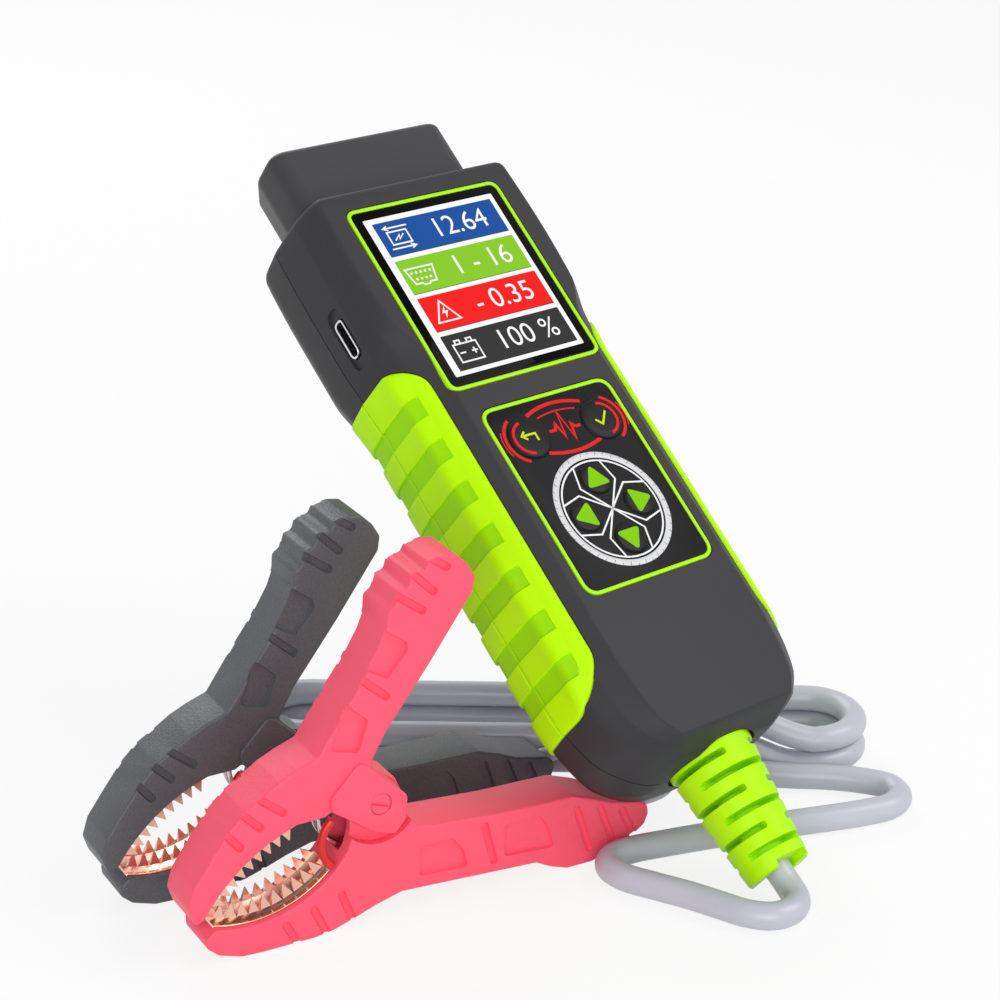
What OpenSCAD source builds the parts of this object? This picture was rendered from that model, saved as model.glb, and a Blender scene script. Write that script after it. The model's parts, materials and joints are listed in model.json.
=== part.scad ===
// Handheld vehicle battery tester with a diagnostic plug, a six-key pad,
// a grey lead and two spring clamps, laid out on a table top.

/* [Casing] */
// Length of the casing above the top edge of the keypad
head_len = 50; // [48:0.5:54]
// Length of the casing below the top edge of the keypad
handle_len = 71.5; // [70:0.5:76]
// Overall width of the head
head_w = 50.4; // [48:0.2:54]
// Width of the flat face on the head
head_face_w = 45; // [43:0.2:46]
// Overall width of the handle
handle_w = 48; // [46:0.2:50]
// Width of the flat face on the handle
handle_face_w = 34.8; // [33:0.2:37]
// Depth of the casing from its face to its back
case_t = 29.2; // [27:0.2:32]
// Depth of the joint line below the face
split_z = 15.2; // [14:0.2:17]
// Thickness of the casing walls
case_wall = 2; // [1.6:0.1:2.4]

/* [Grips] */
// Length of each side grip
grip_len = 71.7; // [66:0.1:73]
// Height of a grip above the casing
grip_rise = 0.6; // [0.3:0.1:1]
// Depth of a grip below the casing's surface
grip_set = 1.2; // [0.8:0.1:1.3]
// Number of cross channels in a grip
channels = 7; // [3:1:8]
// Distance from one channel to the next
channel_pitch = 9.1; // [8:0.1:9.6]
// Width of a channel
channel_w = 3.9; // [2:0.1:5]

/* [Screen] */
// Width of the glass
glass_w = 34.4; // [33:0.2:35]
// Length of the glass
glass_l = 39.2; // [37:0.2:40]
// Thickness of the glass
glass_t = 0.95; // [0.7:0.05:1.1]
// Distance from the keypad's top edge to the glass
glass_y = 5.7; // [5:0.1:6.5]
// Width of the coloured border lines
border_w = 0.8; // [0.5:0.1:1]
// Thickness of the display module
module_t = 2.6; // [2:0.1:4]

/* [Keypad] */
// Width of the keypad sheet
pad_w = 29.2; // [28.6:0.2:30]
// Length of the keypad sheet
pad_l = 38.4; // [38:0.2:40]
// Thickness of the keypad sheet
pad_t = 0.6; // [0.4:0.05:0.7]
// Diameter of the two upper keys
top_key_d = 8.6; // [7:0.1:9]
// Diameter of the four arrow keys
arrow_key_d = 6.4; // [5:0.1:6.8]
// Distance of an arrow key from the middle of the ring
arrow_r = 6.4; // [6:0.1:6.6]
// Outer diameter of the printed ring
ring_d = 23.8; // [22:0.2:24.4]
// Height of the keys above the sheet
key_rise = 0.35; // [0.2:0.05:0.6]
// Travel of a key
key_travel = 0.5; // [0.3:0.05:0.6]

/* [Diagnostic plug] */
// Width of the plug shell at its face side
plug_w = 40.5; // [40:0.1:41]
// Width of the plug shell at its back side
plug_back_w = 32; // [31:0.2:34]
// Depth of the plug shell
plug_t = 16.8; // [16.4:0.1:17.2]
// How far the plug stands out of the head
plug_len = 15.5; // [14:0.5:18]
// Distance from the casing's face to the plug
plug_z = 6.5; // [5.5:0.1:7]
// Thickness of the plug's wall
plug_wall = 1.5; // [1.2:0.1:1.8]
// Spacing of the contact pins
pin_pitch = 4; // [3.8:0.1:4.1]

/* [Cord boot] */
// Diameter of the boot at the casing
boot_d = 16.6; // [15:0.2:17]
// Diameter of the boot at its tip
boot_tip_d = 12; // [10:0.2:13]
// Length of the boot outside the casing
boot_len = 23.6; // [20:0.2:26]
// Depth of the boot's axis below the face
boot_z = 12.9; // [12:0.1:14]
// Number of rings along the boot
boot_rings = 6; // [4:1:7]

/* [Cord] */
// Diameter of the main cord
cord_d = 5; // [4.8:0.1:5.2]
// Diameter of the two clamp leads
lead_d = 3; // [2.6:0.1:3.4]

/* [Clamps] */
// Thickness of a clamp
clamp_t = 11; // [10:0.2:12]
// Diameter of the pivot pin
pivot_d = 3.8; // [3:0.1:4.2]
// Height of the pivot above the table
pivot_h = 22.7; // [22:0.1:24]
// Thickness of a pivot ear
ear_t = 2; // [1.6:0.1:2.4]
// Height of the jaw teeth
tooth_h = 2.2; // [1.4:0.1:2.4]
// Number of teeth in a jaw
teeth = 10; // [6:1:12]
// Thickness of a toothed jaw
jaw_t = 7; // [5:0.2:8]
// Radius of the spring coil
spring_r = 8.3; // [7:0.1:8.6]
// Thickness of the spring wire
spring_wire = 1.3; // [1:0.1:1.6]

/* [Fits] */
// Gap between pieces that are fixed together
fit_gap = 0.1; // [0.05:0.01:0.15]
// Radial gap of a pivot or a screw
run_gap = 0.06; // [0.03:0.01:0.1]
// Gap between pieces that move past each other
move_gap = 0.2; // [0.15:0.01:0.3]

/* [Layout] */
// Angle of the tester above the table
lean = 40.5; // [38:0.5:43]
// Turn of both clamps about the vertical
clamp_turn = -11.4; // [-13:0.2:-10]

/* [Hidden] */
$fn = 48;
eps = 0.01;

// Colours
dark_plastic = [0.27, 0.27, 0.29];
grip_green = [0.6, 0.86, 0.05];
cord_grey = [0.72, 0.73, 0.79];
clamp_red = [0.95, 0.3, 0.4];
clamp_black = [0.2, 0.2, 0.22];
copper = [0.8, 0.5, 0.42];
steel = [0.75, 0.75, 0.77];
pcb_green = [0.05, 0.35, 0.2];

// Casing stations, from the plug end to the cord end:
// place along the tester, half of the flat face, half of the width, face level, back level
shoulder_y = 22;
waist_y = 6;
handle_t = case_t - 1.7;
casing_rings = [
    [head_len, head_face_w / 2 - 1.3, head_w / 2 - 1.4, -0.5, -case_t + 0.5],
    [head_len - 1.4, head_face_w / 2 - 0.3, head_w / 2 - 0.4, 0, -case_t],
    [36, head_face_w / 2, head_w / 2, 0, -case_t],
    [shoulder_y, head_face_w / 2 - 0.7, head_w / 2, 0, -case_t],
    [14.5, (head_face_w + handle_face_w) / 4 - 1.4, head_w / 2 - 0.6, 0, -case_t + 1],
    [waist_y, handle_face_w / 2, handle_w / 2, 0, -handle_t],
    [20 - handle_len, handle_face_w / 2, handle_w / 2, 0, -handle_t],
    [15 - handle_len, handle_face_w / 2 - 0.3, handle_w / 2 - 0.4, 0, -handle_t],
    [7.5 - handle_len, handle_face_w / 2 - 1.4, handle_w / 2 - 2.6, 0, -handle_t],
    [3 - handle_len, handle_face_w / 2 - 3.8, handle_w / 2 - 6.4, 0, -handle_t + 0.5],
    [0.6 - handle_len, handle_face_w / 2 - 5.6, handle_w / 2 - 10, -5, -handle_t + 2],
    [-handle_len, handle_face_w / 2 - 7, handle_w / 2 - 12.6, -7, -handle_t + 4]
];
last_ring = len(casing_rings) - 1;

// One ring of the casing, grown outward by g: the right half from the face to the back
function half_ring(r, g) = [
    [r[1] + 0.4 * g, r[3] + g],
    [r[1] + 0.55 * (r[2] - r[1]) + 0.8 * g, r[3] - 2.6 + 0.6 * g],
    [r[2] - 0.3 + g, r[3] - 6.2 + 0.2 * g],
    [r[2] + g, -split_z],
    [r[2] - 1 + g, -split_z - 0.57 * (-split_z - r[4])],
    [r[2] - 3.4 + 0.8 * g, r[4] + 2.6 - 0.6 * g],
    [r[2] - 5.2 + 0.4 * g, r[4] - g]
];
function full_ring(r, g) = let (h = half_ring(r, g), n = len(h))
    concat(h, [for (i = [n - 1:-1:0]) [-h[i][0], h[i][1]]]);
half_len = (head_len + handle_len) / 2;
middle_y = (head_len - handle_len) / 2;
function ring_y(i, g) = middle_y + (casing_rings[i][0] - middle_y) * (half_len + g) / half_len;

// Joins rings of equal size into one closed solid
function skin_faces(rings, n) = concat(
    [[for (j = [n - 1:-1:0]) j]],
    [[for (j = [0:n - 1]) (rings - 1) * n + j]],
    [for (i = [0:rings - 2]) for (j = [0:n - 1]) let (k = (j + 1) % n)
        [i * n + j, (i + 1) * n + k, (i + 1) * n + j]],
    [for (i = [0:rings - 2]) for (j = [0:n - 1]) let (k = (j + 1) % n) [i * n + j, i * n + k, (i + 1) * n + k]]
);

module casing(g) {
    points = [for (i = [0:last_ring]) for (p = full_ring(casing_rings[i], g)) [p[0], ring_y(i, g), p[1]]];
    polyhedron(points, skin_faces(last_ring + 1, 14), convexity = 4);
}

// Where the tester stands: the boot's tip clears the table by tip_clear
tip_clear = 0.4;
tip_y = -handle_len - boot_len + 0.5;
lift = tip_clear - tip_y * sin(lean) + boot_z * cos(lean) + boot_tip_d / 2 * cos(lean);

// Clamps: pivot places on the table, before the shift to the middle
red_at = [-56.8, -20.2];
black_at = [-58.3, 3.8];
jaw_reach = 35.3;
shift_x = -(black_at[0] - jaw_reach * cos(clamp_turn) + clamp_t / 2 * sin(clamp_turn) + head_w / 2) / 2;
plug_back_z = plug_z + plug_t;
plug_far_y = (head_len + plug_len) * cos(lean) + plug_back_z * sin(lean);
tip_near_y = tip_y * cos(lean) + (boot_z - boot_tip_d / 2) * sin(lean);
shift_y = -(plug_far_y + tip_near_y) / 2;

module place_tester() {
    translate([shift_x, shift_y, lift]) rotate([lean, 0, 0]) children();
}

module place_clamp(at) {
    translate([shift_x + at[0], shift_y + at[1], 0]) rotate([0, 0, clamp_turn]) children();
}

// Extrudes a clamp outline across the clamp's thickness: x along the clamp, z up
module across(t) {
    translate([0, t / 2, 0]) rotate([90, 0, 0]) linear_extrude(t) children();
}

module box(w, l, y0, z0, z1) {
    translate([-w / 2, y0, z0]) cube([w, l, z1 - z0]);
}

// ---- Casing ----

// Side view of a grip, with its face corners cut back
grip_top = 14.6;
grip_end = grip_top - grip_len;
module grip_side_view() {
    polygon([[grip_top - 4.5, -1.7], [grip_top - 1.6, -4], [grip_top, -9], [grip_top, -handle_t + 2.4],
        [grip_end, -handle_t + 2.4], [grip_end, -10], [grip_end + 3, -4.4], [grip_end + 8, -1.7]]);
}

module grip_zone(side) {
    translate([side > 0 ? 0 : -head_w, 0, 0]) rotate([90, 0, 90]) linear_extrude(head_w) grip_side_view();
}

module grip(side) {
    first_channel = grip_top - 7;
    difference() {
        intersection() {
            casing(grip_rise);
            grip_zone(side);
        }
        casing(-grip_set);
        difference() {
            for (i = [0:channels - 1])
                translate([side * head_w / 2 - 6, first_channel - i * channel_pitch - channel_w, -head_w])
                    cube([12, channel_w, head_w - 3.4]);
            casing(-grip_set / 3);
        }
    }
}

module grip_recess() {
    difference() {
        union() {
            grip_zone(1);
            grip_zone(-1);
        }
        casing(-grip_set);
    }
}

pad_border_w = pad_w + 2 * border_w;
pad_border_l = pad_l + 2 * border_w;
glass_border_w = glass_w + 2 * border_w;
glass_border_l = glass_l + 2 * border_w;
module_w = glass_w - 2;
module_l = glass_l - 2;
pad_floor = pad_t + fit_gap;
glass_floor = glass_t + fit_gap;
key_hole_gap = 0.15;
top_keys = [[-8.2, -7.8], [8.8, -8.2]];
ring_y0 = -25.4;
arrow_keys = [[0, ring_y0 + arrow_r], [0, ring_y0 - arrow_r], [-arrow_r, ring_y0], [arrow_r, ring_y0]];

module key_holes(gap) {
    for (k = top_keys) translate([k[0], k[1], -8]) cylinder(d = top_key_d + 2 * gap, h = 12);
    for (k = arrow_keys) translate([k[0], k[1], -8]) cylinder(d = arrow_key_d + 2 * gap, h = 12);
}

usb_y = 25.2;
usb_w = 8;
usb_t = 3;
module usb_hole() {
    translate([-head_w, usb_y - usb_w / 2 - fit_gap, board_top - fit_gap])
        cube([head_w, usb_w + 2 * fit_gap, usb_t + 2 * fit_gap]);
}

// Plug shell outline, seen along the tester: the face side is the wider one
function plug_outline(inset) = let (w = plug_w / 2 - inset, b = plug_back_w / 2 - inset, c = 3.2,
    t = plug_t - inset) [
    [w - c, -inset], [w, -inset - c * 0.8], [w - 0.3, -plug_t * 0.45], [b + 1.2, -t + 1.4], [b - 0.6, -t],
    [-b + 0.6, -t], [-b - 1.2, -t + 1.4], [-w + 0.3, -plug_t * 0.45], [-w, -inset - c * 0.8], [-w + c, -inset]];

module plug_block(inset, y0, y1) {
    translate([0, y1, -plug_z]) rotate([90, 0, 0]) linear_extrude(y1 - y0) polygon(plug_outline(inset));
}

boot_neck_d = boot_d - 4;
boot_flange_t = 2.4;
boot_recess = 1.2;
end_wall = 6;
end_wall_y = -handle_len + end_wall;
module boot_hole() {
    translate([0, end_wall_y + 1, -boot_z]) rotate([90, 0, 0])
        cylinder(d = boot_neck_d + 2 * fit_gap, h = 12);
    translate([0, -handle_len + boot_recess, -boot_z]) rotate([90, 0, 0]) cylinder(d = boot_d + 1.2, h = 12);
}

// The thick end wall that holds the boot
module end_block() {
    intersection() {
        casing(-case_wall / 2);
        translate([-head_w, -2 * handle_len, -2 * case_t])
            cube([2 * head_w, 2 * handle_len + end_wall_y, 4 * case_t]);
    }
}

screw_d = 2.4;
screw_head_d = 4.6;
post_d = 5;
waist_post = [handle_w / 2 - 8, 3];
tail_post = [handle_w / 2 - 9.5, 13.5 - handle_len];
screw_spots = [for (p = [waist_post, tail_post]) for (side = [-1, 1]) [side * p[0], p[1]]];
function rear_post_top(spot) = spot[1] > board_y ? board_bottom : board_top;
board_t = 1.6;
board_top = -11;
board_bottom = board_top - board_t;
screw_seat = -case_t + 4;

module at_screws() {
    for (s = screw_spots) translate([s[0], s[1], 0]) children();
}

module front_shell() color(dark_plastic) place_tester() {
    difference() {
        union() {
            difference() {
                casing(0);
                casing(-case_wall);
            }
            intersection() {
                casing(-case_wall / 2);
                at_screws() translate([0, 0, board_top]) cylinder(d = post_d, h = -board_top - case_wall / 2);
            }
            end_block();
        }
        translate([-head_w, -2 * handle_len, -split_z - 2 * case_t])
            cube([2 * head_w, 4 * handle_len, 2 * case_t]);
        grip_recess();
        box(glass_border_w + 2 * fit_gap, glass_border_l + 2 * fit_gap, glass_y - border_w - fit_gap,
            -glass_floor, 5);
        box(module_w + 2 * fit_gap, module_l + 2 * fit_gap, glass_y + 1 - fit_gap, -8, 1);
        box(pad_border_w + 2 * fit_gap, pad_border_l + 2 * fit_gap, -pad_border_l - fit_gap, -pad_floor, 5);
        key_holes(key_hole_gap);
        usb_hole();
        plug_block(-fit_gap, head_len - 8, head_len + 4);
        boot_hole();
        at_screws() translate([0, 0, board_top - 1]) cylinder(d = screw_d + 2 * run_gap, h = 8);
    }
}

module rear_shell() color(dark_plastic) place_tester() {
    difference() {
        union() {
            difference() {
                casing(0);
                casing(-case_wall);
            }
            intersection() {
                casing(-case_wall / 2);
                for (s = screw_spots)
                    translate([s[0], s[1], -case_t]) cylinder(d = post_d, h = case_t + rear_post_top(s));
            }
            end_block();
        }
        translate([-head_w, -2 * handle_len, -split_z]) cube([2 * head_w, 4 * handle_len, 2 * case_t]);
        grip_recess();
        plug_block(-fit_gap, head_len - 8, head_len + 4);
        boot_hole();
        at_screws() translate([0, 0, -case_t - 1]) cylinder(d = screw_d + 2 * run_gap, h = case_t);
        at_screws() translate([0, 0, screw_seat - 8]) cylinder(d = screw_head_d + 2 * fit_gap, h = 8);
    }
}

module grip_left() color(grip_green) place_tester() grip(-1);

module grip_right() color(grip_green) place_tester() grip(1);

module case_screws() color(steel) place_tester() at_screws() {
    difference() {
        translate([0, 0, screw_seat - 1.8]) cylinder(d = screw_head_d, h = 1.8);
        translate([0, 0, screw_seat - 2.8]) cylinder(d = 1.8, h = 2, $fn = 6);
    }
    translate([0, 0, screw_seat]) cylinder(d = screw_d, h = -screw_seat + board_top + 5);
}

// ---- Screen and keypad ----

module screen_glass() color([0.05, 0.05, 0.06]) place_tester()
    box(glass_w, glass_l, glass_y, -glass_t, 0);

module frame_line(w, l, y0, z0) {
    difference() {
        box(w, l, y0, z0, 0.12);
        box(w - 2 * border_w + eps, l - 2 * border_w + eps, y0 + border_w - eps / 2, z0 - 1, 1);
    }
}

module screen_border() color(grip_green) place_tester()
    frame_line(glass_border_w, glass_border_l, glass_y - border_w, -glass_t);

module display_module() color([0.55, 0.57, 0.6]) place_tester()
    box(module_w, module_l, glass_y + 1, -glass_t - module_t, -glass_t);

module keypad_sheet() color([0.17, 0.17, 0.18]) place_tester() {
    difference() {
        box(pad_w, pad_l, -pad_l - border_w, -pad_t, 0);
        key_holes(key_hole_gap);
    }
}

module keypad_border() color(grip_green) place_tester()
    frame_line(pad_border_w, pad_border_l, -pad_border_l, -pad_t);

module keypad_ring() color([0.8, 0.8, 0.82]) place_tester() translate([0, ring_y0, 0]) {
    difference() {
        cylinder(d = ring_d, h = 0.1);
        translate([0, 0, -1]) cylinder(d = ring_d - 2.6, h = 3);
    }
}

key_flange = 0.7;
under_face = -case_wall;
switch_top = board_top + 3;
stem_bottom = switch_top + key_travel + move_gap;
module key_piece(spot, d, shade) {
    flange_top = under_face - run_gap;
    color(shade) place_tester() translate([spot[0], spot[1], 0]) {
        translate([0, 0, flange_top - key_flange]) cylinder(d = d, h = key_rise + key_flange - flange_top);
        translate([0, 0, flange_top - key_flange]) cylinder(d = d + 1.1, h = key_flange);
        translate([0, 0, stem_bottom]) cylinder(d = 2.4, h = flange_top - stem_bottom);
    }
}

module key_back() key_piece(top_keys[0], top_key_d, [0.2, 0.2, 0.21]);
module key_ok() key_piece(top_keys[1], top_key_d, [0.2, 0.2, 0.21]);
module key_up() key_piece(arrow_keys[0], arrow_key_d, [0.16, 0.16, 0.17]);
module key_down() key_piece(arrow_keys[1], arrow_key_d, [0.16, 0.16, 0.17]);
module key_left() key_piece(arrow_keys[2], arrow_key_d, [0.16, 0.16, 0.17]);
module key_right() key_piece(arrow_keys[3], arrow_key_d, [0.16, 0.16, 0.17]);

module key_switches() color([0.3, 0.3, 0.32]) place_tester()
    for (k = concat(top_keys, arrow_keys)) translate([k[0] - 2, k[1] - 2, board_top]) {
        cube([4, 4, 2]);
        translate([2, 2, 0]) cylinder(d = 2, h = switch_top - board_top);
    }

// ---- Inside ----

board_w = 36;
board_y = 21.5 - handle_len;
board_l = head_len - 7 - board_y;
module circuit_board() color(pcb_green) place_tester() {
    difference() {
        box(board_w, board_l, board_y, board_bottom, board_top);
        at_screws() translate([0, 0, -case_t]) cylinder(d = post_d + 2 * move_gap, h = case_t);
    }
}

buzzer_y = 29.5 - handle_len;
buzzer_d = 12;
buzzer_t = 5;
module buzzer() color([0.12, 0.12, 0.13]) place_tester()
    translate([0, buzzer_y, board_bottom - buzzer_t]) cylinder(d = buzzer_d, h = buzzer_t);

processor_size = [10, 10, 1.4];
processor_y = 41.5 - handle_len;
module processor() color([0.08, 0.08, 0.09]) place_tester()
    box(processor_size[0], processor_size[1], processor_y, board_bottom - processor_size[2], board_bottom);

resistor_size = [26, 9, 8];
resistor_y = 4;
module load_resistor() color([0.7, 0.7, 0.68]) place_tester()
    box(resistor_size[0], resistor_size[1], resistor_y, board_bottom - resistor_size[2], board_bottom);

module terminal_block() color([0.1, 0.4, 0.2]) place_tester()
    box(11, 6, board_y, board_top, board_top + 7);

module usb_port() color(steel) place_tester() {
    port_x = -head_w / 2 + 0.7;
    difference() {
        translate([port_x, usb_y - usb_w / 2, board_top]) cube([9, usb_w, usb_t]);
        translate([port_x - 1, usb_y - usb_w / 2 + 0.4, board_top + 0.4]) cube([5, usb_w - 0.8, usb_t - 0.8]);
    }
}

// ---- Diagnostic plug ----

plug_floor_y = head_len + plug_len - 11;
module plug_shell() color(dark_plastic) place_tester() {
    flange_y = head_len - case_wall - fit_gap;
    difference() {
        union() {
            plug_block(0, head_len - 6, head_len + plug_len);
            plug_block(-1.4, flange_y - 2, flange_y);
        }
        plug_block(plug_wall, head_len - 7, head_len + plug_len + 1);
    }
}

core_inset = plug_wall + fit_gap;
module plug_core() color([0.1, 0.1, 0.11]) place_tester() {
    plug_block(core_inset, head_len - 5, plug_floor_y);
}

pin_w = 1.5;
pin_t = 0.8;
pin_rows = [-plug_z - 4.2, -plug_z - plug_t + 4.6];
module plug_pins() color([0.85, 0.7, 0.4]) place_tester()
    for (z = pin_rows) for (i = [0:7])
        translate([(i - 3.5) * pin_pitch * 0.95 - pin_w / 2, plug_floor_y, z - pin_t / 2])
            cube([pin_w, 8.5, pin_t]);

// ---- Boot ----

boot_base_y = -handle_len + boot_recess - fit_gap;
boot_out = boot_base_y - tip_y;
boot_slot = 1.3;
boot_slot_floor = cord_d / 2 + 0.8;
module boot_slots() {
    first = 1.6;
    last = boot_out - 4.5;
    for (i = [0:boot_rings - 1]) for (side = [0, 180])
        rotate([0, 0, side + (i % 2 == 0 ? 90 : 0)])
            translate([-boot_d, boot_slot_floor, first + (last - first) * i / (boot_rings - 1)])
                cube([2 * boot_d, boot_d, boot_slot]);
}

module cord_boot() color(grip_green) place_tester() translate([0, boot_base_y, -boot_z]) rotate([90, 0, 0]) {
    inner = boot_base_y - end_wall_y - fit_gap;
    difference() {
        union() {
            cylinder(d1 = boot_d, d2 = boot_tip_d, h = boot_out);
            translate([0, 0, inner - boot_flange_t]) cylinder(d = boot_neck_d, h = boot_flange_t - inner + 1);
            translate([0, 0, inner - boot_flange_t]) cylinder(d = boot_d, h = boot_flange_t);
        }
        boot_slots();
        translate([0, 0, inner - boot_flange_t - 1]) cylinder(d = cord_d + 2 * fit_gap, h = boot_out + 20);
    }
}

// The end of the cord inside the boot, up to the terminal block
module cord_tail() color(cord_grey) place_tester()
    translate([0, tip_y, -boot_z]) rotate([-90, 0, 0]) cylinder(d = cord_d, h = board_y - tip_y);

// ---- Cord on the table ----

// The hank: an oval of two layers, with straight runs and round ends
hank_start = [44.7, -41.3];
hank_dir = [-0.744, 0.668];
hank_side = [0.668, 0.744];
hank_bend = 9;
hank_run = [9.5, 106];
function hank_at(along, back, z) = concat(hank_start + along * hank_dir + back * hank_side, [z]);
hank_angle = atan2(hank_dir[1], hank_dir[0]);

// The tip's place on the table, and the cord's way from it to the hank
tip = [0, tip_y * cos(lean) + boot_z * sin(lean), lift + tip_y * sin(lean) - boot_z * cos(lean)];
floor_z = cord_d / 2;
cord_route = concat([
    tip, [-0.2, -66.2, 3.3], [-1.5, -69.3, floor_z], [-4.7, -71.4, floor_z], [-8.5, -70.7, floor_z],
    [-11.3, -67, floor_z], [-12.9, -61.8, floor_z], [-14.7, -55.8, floor_z], [-17.1, -49.6, floor_z],
    [-18.9, -44.2, floor_z], [-18.5, -39.9, floor_z], [-15.4, -37.6, floor_z], [-10.6, -38.1, floor_z],
    [-5.2, -40, floor_z], [1.6, -42.6, floor_z], [8.7, -45.6, floor_z], [16.5, -49, floor_z],
    [24, -52.4, floor_z], [30.6, -55.2, floor_z], [36.2, -56.7, floor_z], [40.4, -55.2, floor_z],
    [42, -51, floor_z], [39.6, -45.9, floor_z], [36, -41.2, floor_z]
], [for (spot = [[13, -5.4], [19, -4.8], [24.5, -3.1], [29.5, -1], [34, 0], [38, 0]])
    hank_at(spot[0], spot[1], floor_z)]);

// A smooth curve through the route's points
function curve_at(a, b, c, d, t) = 0.5 * (2 * b + (c - a) * t + (2 * a - 5 * b + 4 * c - d) * t * t
    + (3 * b - a - 3 * c + d) * t * t * t);
function smooth(pts, steps) = let (n = len(pts)) concat(
    [for (i = [0:n - 2]) for (s = [0:steps - 1])
        curve_at(pts[max(i - 1, 0)], pts[i], pts[i + 1], pts[min(i + 2, n - 1)], s / steps)],
    [pts[n - 1]]);
function unit(v) = v / norm(v);
function heading(pts, i) = unit(pts[min(i + 1, len(pts) - 1)] - pts[max(i - 1, 0)]);

tube_fill = 0.985;
module tube(route, d, sides, steps, first = [0, 0, 0]) {
    pts = smooth(route, steps);
    n = len(pts);
    rings = [for (i = [0:n - 1]) let (t = i == 0 && norm(first) > 0 ? first : heading(pts, i),
        a = unit(cross(t, [0, 0, 1])), b = cross(a, t))
        for (j = [0:sides - 1]) let (turn = (j + 0.5) * 360 / sides)
            pts[i] + d / 2 / cos(180 / sides) * tube_fill * (cos(turn) * a + sin(turn) * b)];
    translate([shift_x, shift_y, 0]) polyhedron(rings, skin_faces(n, sides), convexity = 6);
}

module cord() color(cord_grey) tube(cord_route, cord_d, 8, 2, [0, -cos(lean), -sin(lean)]);

// An oval round both of the hank's bend centres
bend_steps = 16;
function hank_oval(r) = [for (end = [0, 1]) for (i = [0:bend_steps]) let (a = 90 - 180 * end - i * 180 / bend_steps)
    [hank_run[1 - end] + r * cos(a), -hank_bend + r * sin(a)]];

module cord_coil() color(cord_grey) translate(hank_at(0, 0, 0) + [shift_x, shift_y, 0]) rotate([0, 0, hank_angle]) {
    linear_extrude(2 * cord_d) difference() {
        polygon(hank_oval(hank_bend + cord_d / 2));
        polygon(hank_oval(hank_bend - cord_d / 2));
    }
}

// The tie round both sides of the hank
tie_at = 38;
tie_t = 0.8;
module coil_tie() color([0.15, 0.15, 0.16]) translate([shift_x, shift_y, 0]) {
    half = hank_bend + cord_d / 2;
    translate(hank_at(tie_at, hank_bend, 0)) rotate([0, 0, hank_angle]) difference() {
        translate([-2.5, -half - tie_t, 0]) cube([5, 2 * half + 2 * tie_t, 2 * cord_d + tie_t]);
        translate([-3.5, -half, -1]) cube([7, 2 * half, 2 * cord_d + 1]);
    }
}

// The cord's end climbs from the hank's upper run on to the tie, and ends in the splitter
split_t = 5.2;
split_w = 8;
split_from = 31;
split_to = 43;
split_back = 2;
split_bottom = 2 * cord_d + tie_t;
split_middle = split_bottom + split_t / 2;
exit_z = 1.5 * cord_d;
coil_exit_route = [
    hank_at(8, 0, exit_z), hank_at(14, 0.1, exit_z + 1.2), hank_at(19.5, 0.7, exit_z + 3.4),
    hank_at(25, 1.6, split_middle - 0.4), hank_at(split_from + 0.2, split_back, split_middle)
];
module coil_exit() color(cord_grey) tube(coil_exit_route, cord_d, 8, 2);

module splitter() color([0.2, 0.2, 0.22]) translate([shift_x, shift_y, 0]) {
    translate(hank_at(split_from, split_back, split_bottom)) rotate([0, 0, hank_angle]) hull() {
        translate([0, -3, 0]) cube([0.5, 6, split_t]);
        translate([split_to - split_from - 0.5, -split_w / 2, 0]) cube([0.5, split_w, split_t]);
    }
}

// Clamp leads from the splitter to the ends of the lower levers
lever_end = 54;
lead_z = 7.4;
lead_side = 1.8;
split_heading = [hank_dir[0], hank_dir[1], 0];
function on_clamp(at, s) = [at[0] + s * cos(clamp_turn), at[1] + s * sin(clamp_turn), lead_z];
lead_black_route = [
    hank_at(split_to, split_back + lead_side, split_middle), [12, -7.8, 13.2], [8.4, -7.6, 12.7],
    [4.6, -9.2, 12.1], [1.2, -9, 9.8], on_clamp(black_at, lever_end + 3.2), on_clamp(black_at, lever_end - 1)
];
lead_red_route = [
    hank_at(split_to, split_back - lead_side, split_middle), [10, -11.4, 13.2], [7.4, -13.4, 12.3],
    [6.4, -16.9, 10.9], [7.4, -20.6, 9.4], [8.2, -24.4, 8.4], [6.8, -28.2, 7.7], [3.4, -30.9, 7.4],
    on_clamp(red_at, lever_end + 3), on_clamp(red_at, lever_end - 1)
];
module lead_black() color(cord_grey) tube(lead_black_route, lead_d, 8, 2, split_heading);
module lead_red() color(cord_grey) tube(lead_red_route, lead_d, 8, 2, split_heading);

// ---- Clamps ----

// Centre and radius of the circle through three points
function arc_of(a, b, c) = let (d = 2 * (a[0] * (b[1] - c[1]) + b[0] * (c[1] - a[1]) + c[0] * (a[1] - b[1])),
    x = ((a * a) * (b[1] - c[1]) + (b * b) * (c[1] - a[1]) + (c * c) * (a[1] - b[1])) / d,
    y = ((a * a) * (c[0] - b[0]) + (b * b) * (a[0] - c[0]) + (c * c) * (b[0] - a[0])) / d)
    [x, y, norm([x, y] - a)];
function angle_on(arc, p) = atan2(p[1] - arc[1], p[0] - arc[0]);
function arc_points(arc, a0, a1, n, inset) = [for (i = [0:n]) let (a = a0 + (a1 - a0) * i / n)
    [arc[0] + (arc[2] - inset) * cos(a), arc[1] + (arc[2] - inset) * sin(a)]];

// Inner edges of the two jaws, as places along the clamp and above the table
upper_edge = [[-32.6, 8.9], [-25.8, 16.6], [-15.2, 22.3]];
lower_edge = [[-30.6, 6.6], [-20, 5.9], [-8.6, 11.8]];
upper_arc = arc_of(upper_edge[0], upper_edge[1], upper_edge[2]);
lower_arc = arc_of(lower_edge[0], lower_edge[1], lower_edge[2]);
upper_from = angle_on(upper_arc, upper_edge[0]);
upper_to = angle_on(upper_arc, upper_edge[2]);
lower_from = angle_on(lower_arc, lower_edge[0]) + 360;
lower_to = angle_on(lower_arc, lower_edge[2]) + 360;

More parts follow.
